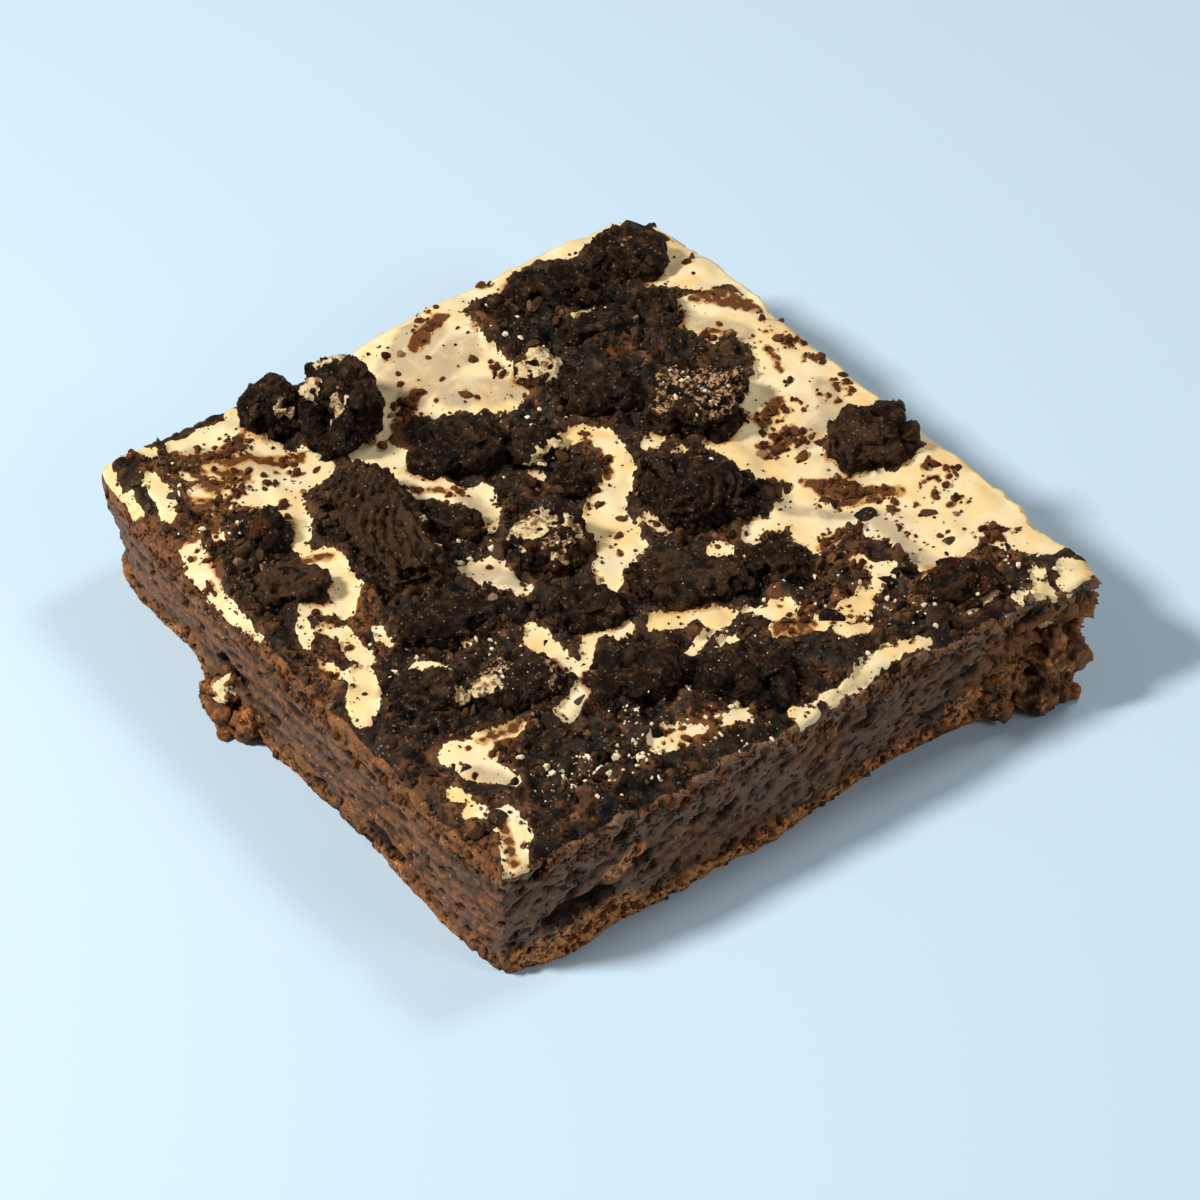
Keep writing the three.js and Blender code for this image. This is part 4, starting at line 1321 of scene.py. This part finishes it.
places, shaded_depth, loose, fine = bent(u, v, share, seam_height(x, y) - 0.05, high, RIM_WORN)

column = np.round((ring_u + 1) / 2 * CREAM_CELLS).astype(int)
row = np.round((ring_v + 1) / 2 * CREAM_CELLS).astype(int)
head = column * (CREAM_CELLS + 1) + row
rings = len(grid_u) + np.arange(CREAM_ROWS * len(ring_u)).reshape(CREAM_ROWS, -1)
inner = np.arange((CREAM_CELLS + 1) ** 2).reshape(CREAM_CELLS + 1, -1)
a, b, c, d = inner[:-1, :-1], inner[1:, :-1], inner[1:, 1:], inner[:-1, 1:]
faces = np.stack([a.ravel(), b.ravel(), c.ravel(), d.ravel()], 1).tolist()
for j in range(CREAM_ROWS):
    faces += bands(rings[j], rings[j + 1] if j + 1 < CREAM_ROWS else head)
faces.append(rings[0][::-1].tolist())

edge = np.maximum(np.abs(u), np.abs(v))
front = ((u <= -0.999) | (v <= -0.999)).astype(float)
at_side = ease(edge, 0.995, 1.0)
streaks = noise(places * np.array([0.35, 0.35, 1.6]), 1.6, 51)
low_band = ease(0.72 - share + 0.3 * streaks, -0.15, 0.15)
smears = (1 - front) * 0.5 * ease(streaks, 0.15, 0.6)
dragged = at_side * np.maximum(front * np.maximum(low_band, cover), smears)
below = 1 - at_side * ease(1 - share, 0.03, 0.25)
cream_marks = {
    **upper_marks,
    "brown": upper_marks["brown"] * below,
    "fringe": upper_marks["fringe"] * below,
    "cover": cover * (1 - at_side * (1 - front) * ease(1 - share, 0.1, 0.5)),
    "dragged": dragged,
    "cut": at_side * (1 - front),
    # Painted shade in the pores of the brownie that is dragged over the cream's face.
    "shaded_depth": shaded_depth * dragged,
    "rust": 0.5 * dragged,
    # The face looking along -Y is painted grey: knife smear with painted sheen.
    "polish": dragged * (v <= -0.999),
    # Painted light on the raised relief of the dragged crumb.
    "raised_lit": np.clip(0.5 + fine, 0, 1),
}
cream_piece = piece("cream_dressed", places, faces, cream_material, cream_marks)
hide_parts("cream_topping")

# %% [markdown]
# A crumb is a ball that has been flattened, cut by a few planes at random depths and turned, so
# that it is small, angular and never twice the same. All the crumbs of one kind are one mesh.

# %% Angular crumbs


def stone_shapes(detail):
    """A ball's vertices and triangles, as arrays."""
    mesh = bpy.data.meshes.new("ball")
    ball = bmesh.new()
    bmesh.ops.create_icosphere(ball, subdivisions=detail, radius=1)
    ball.to_mesh(mesh)
    ball.free()
    vertices = np.array([v.co[:] for v in mesh.vertices])
    triangles = np.array([p.vertices[:] for p in mesh.polygons])
    bpy.data.meshes.remove(mesh)
    return vertices, triangles


BALLS = {detail: stone_shapes(detail) for detail in (1, 2, 3)}


def stones(middles, radii, detail, seed, cuts=6):
    """Angular stones as one mesh: vertices, triangles, and which stone each vertex is of."""
    ball, triangles = BALLS[detail]
    random = np.random.default_rng(seed)
    count = len(radii)
    turn = random.normal(size=(count, 4))
    turn /= np.linalg.norm(turn, axis=1)[:, None]
    w, i, j, k = turn.T
    rotation = np.stack([
        1 - 2 * (j * j + k * k), 2 * (i * j - k * w), 2 * (i * k + j * w),
        2 * (i * j + k * w), 1 - 2 * (i * i + k * k), 2 * (j * k - i * w),
        2 * (i * k - j * w), 2 * (j * k + i * w), 1 - 2 * (i * i + j * j),
    ], 1).reshape(count, 3, 3)
    points = np.tile(ball, (count, 1)).reshape(count, -1, 3)
    for _ in range(cuts):
        way = random.normal(size=(count, 3))
        way /= np.linalg.norm(way, axis=1)[:, None]
        depth = random.uniform(0.35, 0.95, count)[:, None]
        beyond = np.clip(np.einsum("nvi,ni->nv", points, way) - depth, 0, None)
        points = points - beyond[..., None] * way[:, None, :]
    points = points * np.array(CRUMB_SHAPE) * random.uniform(0.7, 1.35, (count, 1, 3))
    points = np.einsum("nij,nvj->nvi", rotation, points) * radii[:, None, None] + middles[:, None, :]
    faces = triangles[None] + (np.arange(count) * len(ball))[:, None, None]
    return points.reshape(-1, 3), faces.reshape(-1, 3), np.repeat(np.arange(count), len(ball))


# %% [markdown]
# The lumps that hang at the right corner and at the left foot are the same crumb, torn instead of
# cut. Large stones are run together into one even mesh, which is then roughened.

# %% Torn lumps of the base
CREAM_ON_LUMPS = [
    (40.8, -43.4, 1.1, 43.4, -42.2, 1.6),
    (36.6, -43.4, 0.5, 37.8, -43.0, 0.6),
]
CREAM_ON_FLAP = (-46.0, 12.4, 4.9)
lump_middles = np.array(LUMPS)[:, :3]
lump_radii = np.array(LUMPS)[:, 3]
vertices, triangles, _ = stones(lump_middles, lump_radii * 1.05, 3, 61, 3)
vertices[:, 2] = np.clip(vertices[:, 2], 0.02, None)
rough_lumps = bpy.data.meshes.new("rough_lumps")
rough_lumps.from_pydata((vertices * MM).tolist(), [], triangles.tolist())
mesh = even_copy(bpy.data.objects.new("rough_lumps", rough_lumps), 0.33)
p, normal = places_and_normals(mesh)
lump, _ = grains(p, 1.7, 62)
grain, _ = grains(p, 0.7, 63)
fine = 0.7 * (0.45 - lump * lump) + 0.4 * (0.4 - grain * grain) + 0.9 * plates(p, 1.5, 64)
p += normal * (fine + 0.15 * rough(p, 1.0, 2, 64))[:, None]
p[:, 2] = np.clip(p[:, 2], 0, None)
mesh.vertices.foreach_set("co", (p * MM).ravel())
creamy = ease(0.3 - outside(CREAM_ON_LUMPS, p[:, 0], p[:, 1]) + 0.6 * noise(p, 1.2, 66), -0.3, 0.4)
creamy *= ease(normal[:, 2], 0.1, 0.5) * ease(p[:, 2], 10.0, 11.0)
_, along, up = (p - np.array(CREAM_ON_FLAP)).T
near_flap = np.max([1.1 * along + 0.5 * up, 0.9 * up - 1.2 * along, -1.1 * up], axis=0)
lump_marks = {
    "rust": np.clip(0.55 + 0.4 * noise(p, 3.0, 65), 0, 1),
    "polish": np.zeros(len(p)),
    # Painted shade between the grains of the lumps.
    "shaded_depth": ease(np.minimum(lump, 0.9), 0.6, 0.85) * 0.7,
    # Painted light on the raised relief of the lumps.
    "raised_lit": np.clip(0.35 + 0.5 * fine, 0, 1),
    "pale": np.maximum(creamy, ease(1.1 - near_flap + 0.3 * noise(p, 0.9, 67), -0.1, 0.2)),
}
lumps = dressed("torn_lumps", mesh, base_material, lump_marks)
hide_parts("brownie_base")

# %% [markdown]
# Loose crumbs. The large ones stand where the solids have them, by the same rule of turning by
# the golden angle, and with the same random draws. The smaller kinds are strewn over the bed.

# %% Large crumbs of the beds
CRUMB_DRAWS = 37


def draws(seed):
    """The solids' own repeatable random numbers."""
    whole = 0xFFFFFFFF
    state = seed
    while True:
        state = (state + 0x6D2B79F5) & whole
        t = ((state ^ (state >> 15)) * (1 | state)) & whole
        t = ((t + (((t ^ (t >> 7)) * (61 | t)) & whole)) & whole) ^ t
        yield ((t ^ (t >> 14)) & whole) / 2**32


random = draws(2024)
large = []
for at_x, at_y, half_x, half_y, count in CRUMB_BEDS:
    for i in range(count):
        angle = i * math.pi * (3 - math.sqrt(5))
        reach = math.sqrt((i + 0.5) / count)
        x = at_x + half_x * reach * math.cos(angle)
        y = at_y + half_y * reach * math.sin(angle)
        radius = CRUMB_RADIUS[0] + (CRUMB_RADIUS[1] - CRUMB_RADIUS[0]) * next(random)
        for _ in range(CRUMB_DRAWS):
            next(random)
        if max(abs(x), abs(y)) < HALF - radius:
            large.append((x, y, radius))
large = np.array(large)
print(len(large), "large crumbs of the beds")

# %% Finish of the crumbs
crumbs = Finish("biscuit_crumb")
colour, roughness, height = biscuit_look(crumbs, crumbs.mark("tone"))
colour = crumbs.mark("rust").mix(colour, RUST_BISCUIT)
colour = crumbs.mark("tan").mix(colour, TAN_BISCUIT)
crumb_material = crumbs.set(
    Base_Color=colour,
    Roughness=roughness,
    Normal=crumbs.bump(height, 0.12),
    Specular_IOR_Level=0.10,
)

bits = Finish("bits_of_cream")
colour = bits.noise(1.5, 2.0).over(0.35, 0.65).mix(WHITE_FILM, PALE_CREAM)
bit_material = bits.set(Base_Color=colour, Roughness=0.35 + 0.2 * bits.noise(0.5), Specular_IOR_Level=0.5)

# %% Where crumbs lie


top_tree = BVHTree.FromPolygons(*joined([cream_piece]))


def height_of(tree, x, y):
    """The height of a mesh at each place, or zero where it isn't there."""
    rays = (tree.ray_cast((a, b, ABOVE), (0, 0, -1))[0] for a, b in zip(x.tolist(), y.tolist()))
    return np.array([0.0 if hit is None else hit[2] for hit in rays])


def on_top(x, y):
    """The height of whatever is uppermost at each place, and whether it is a piece of biscuit."""
    cream_at, biscuit_at = height_of(top_tree, x, y), height_of(biscuit_tree, x, y)
    return np.maximum(cream_at, biscuit_at), biscuit_at > cream_at


def on_side(side, along, z):
    """Places on a cut face: side 0 looks along -X, 1 along -Y, 2 along +X and 3 along +Y."""
    sign = np.where(side < 2, -1.0, 1.0)
    on_x = side % 2 == 0
    x, y = outline(np.where(on_x, sign, along / HALF), np.where(on_x, along / HALF, sign))
    out = sign * face_relief(x, y, z)
    return np.stack([x + on_x * out, y + (1 - on_x) * out, z], 1)


def strewn(name, middles, radii, detail, seed, rust, tan_share, material=None):
    """Crumbs as one piece; rust is how red-brown each is, and a share of them is tan."""
    vertices, faces, owner = stones(middles, radii, detail, seed)
    random = np.random.default_rng(seed + 1)
    tone = random.uniform(-0.15, 0.35, len(radii))[owner]
    is_tan = random.uniform(0, 1, len(radii)) < tan_share
    tan = is_tan * random.uniform(0.3, 0.9, len(radii))
    marks = {"tone": tone, "tan": tan[owner], "rust": rust[owner]}
    return piece(name, vertices, faces.tolist(), material or crumb_material, marks, detail > 2)


def candidates(count, seed):
    """Places over the square, and how far each lies outside the strokes of cream."""
    random = np.random.default_rng(seed)
    x, y = outline(*random.uniform(-0.985, 0.94, (2, count)))
    return x, y, outside(CREAM_STROKES, x, y), random


def sides(count, lowest, highest, shares, random):
    """Places on the four cut faces between two heights; shares says how many lie on each."""
    side = random.choice(4, count, p=shares)
    along = random.uniform(-HALF + 0.8, HALF - 0.8, count)
    return on_side(side, along, random.uniform(lowest, highest, count))


# %% Crumbs strewn over the brownie
NEAR_FACES = (0.45, 0.45, 0.05, 0.05)
ALL_FACES = (0.3, 0.3, 0.2, 0.2)

x, y, radii = large.T
middles = np.stack([x, y, height_of(top_tree, x, y) - 0.5 * radii], 1)
strewn("large_crumbs", middles, radii * 0.85, 3, 72, np.zeros(len(radii)), 0.0)

x, y, bare, random = candidates(2600, 73)
height, over_biscuit = on_top(x, y)
keep = (bare > 0.9) & ~over_biscuit
x, y, height = x[keep], y[keep], height[keep]
size = 0.28 + 0.6 * random.uniform(0, 1, len(x)) ** 1.8
rim = sides(260, 13.0, 16.0, NEAR_FACES, random)
foot = sides(240, 0.2, 2.6, ALL_FACES, random)
placed_z = on_top(placed_crumbs[:, 0], placed_crumbs[:, 1])[0]
middles = np.concatenate([
    np.stack([x, y, height + 0.1 * size], 1),
    np.stack([placed_crumbs[:, 0], placed_crumbs[:, 1], placed_z], 1),
    rim,
    foot,
])
edge_size = 0.25 + 0.4 * random.uniform(0, 1, 500) ** 1.5
radii = np.concatenate([size, placed_crumbs[:, 2], edge_size])
rust = np.concatenate([
    0.25 * random.uniform(0, 1, len(x)),
    0.15 + 0.5 * random.uniform(0, 1, len(placed_crumbs)),
    random.uniform(0.2, 0.9, 500),
])
strewn("medium_crumbs", middles, radii, 2, 74, rust, 0.04)

x, y, bare, random = candidates(9500, 75)
height, over_biscuit = on_top(x, y)
share = np.where(bare > 0.3, 0.75, 0.03 + 0.5 * np.exp(np.minimum(bare, 0.3) / 0.45))
keep = random.uniform(0, 1, len(x)) < np.where(over_biscuit, 0.05, share)
x, y, bare, height = x[keep], y[keep], bare[keep], height[keep]
size = 0.12 + 0.24 * random.uniform(0, 1, len(x)) ** 1.5
rim = sides(700, 12.4, 16.4, NEAR_FACES, random)
foot = sides(900, 0.1, 3.4, ALL_FACES, random)
middles = np.concatenate([np.stack([x, y, height + 0.3 * size], 1), rim, foot])
radii = np.concatenate([size, 0.14 + 0.25 * random.uniform(0, 1, 1600) ** 1.5])
near_cream = np.clip(np.exp(-np.abs(bare) / 0.8), 0, 1) * random.uniform(0.2, 1.0, len(x))
rust = np.concatenate([near_cream, random.uniform(0.3, 1.0, 1600)])
strewn("fine_crumbs", middles, radii, 1, 76, rust, 0.06)

# %% Bits of cream strewn over the crumb
# Fields of bits: place, reach and how many
BIT_FIELDS = [
    (-27.0, -37.0, 3.4, 50), (-20.4, -38.0, 3.0, 50), (-17.0, -33.0, 3.0, 24), (-10.0, -31.0, 4.0, 24),
    (-30.0, -34.0, 3.0, 26), (0.0, -30.0, 5.0, 34), (-24.0, -14.0, 5.0, 24), (13.0, -33.0, 3.6, 30),
    (20.0, -35.0, 6.0, 30), (34.0, -39.0, 6.0, 30), (12.0, 33.0, 4.0, 12), (22.0, 30.0, 6.0, 18),
    (4.0, 17.0, 5.0, 26), (-38.0, 36.0, 4.0, 16), (-36.0, 24.0, 5.0, 18), (23.0, 7.0, 7.0, 60),
    (-7.0, -2.0, 4.0, 30), (14.0, -4.0, 6.0, 20), (-26.0, -20.0, 4.0, 26), (-15.0, 3.0, 5.0, 20),
    (0.0, -16.0, 8.0, 24), (-33.0, -8.0, 6.0, 20), (14.0, -24.0, 8.0, 30), (-8.0, -40.0, 5.0, 24),
]
random = np.random.default_rng(81)
spread = []
for at_x, at_y, reach, count in BIT_FIELDS:
    x = random.normal(at_x, 0.5 * reach, count)
    y = random.normal(at_y, 0.5 * reach, count)
    spread.append(np.stack([x, y], 1))
spread = np.clip(np.concatenate(spread), -HALF + 0.6, HALF - 0.6)
keep = outside(CREAM_STROKES, spread[:, 0], spread[:, 1]) > 0.2
x, y = spread[keep].T
height, over_biscuit = on_top(x, y)
radii = 0.12 + 0.46 * random.uniform(0, 1, len(x)) ** 2.4
keep = ~over_biscuit | (outside(SPECKLED, x, y) < 0.5) | (random.uniform(0, 1, len(x)) < 0.2)
radii = np.where(over_biscuit, 0.6, 1.0) * radii
x, y, height, radii = x[keep], y[keep], height[keep], radii[keep]
middles = np.stack([x, y, height + 0.2 * radii], 1)
strewn("bits_of_cream", middles, radii, 1, 82, np.zeros(len(x)), 0.0, bit_material)
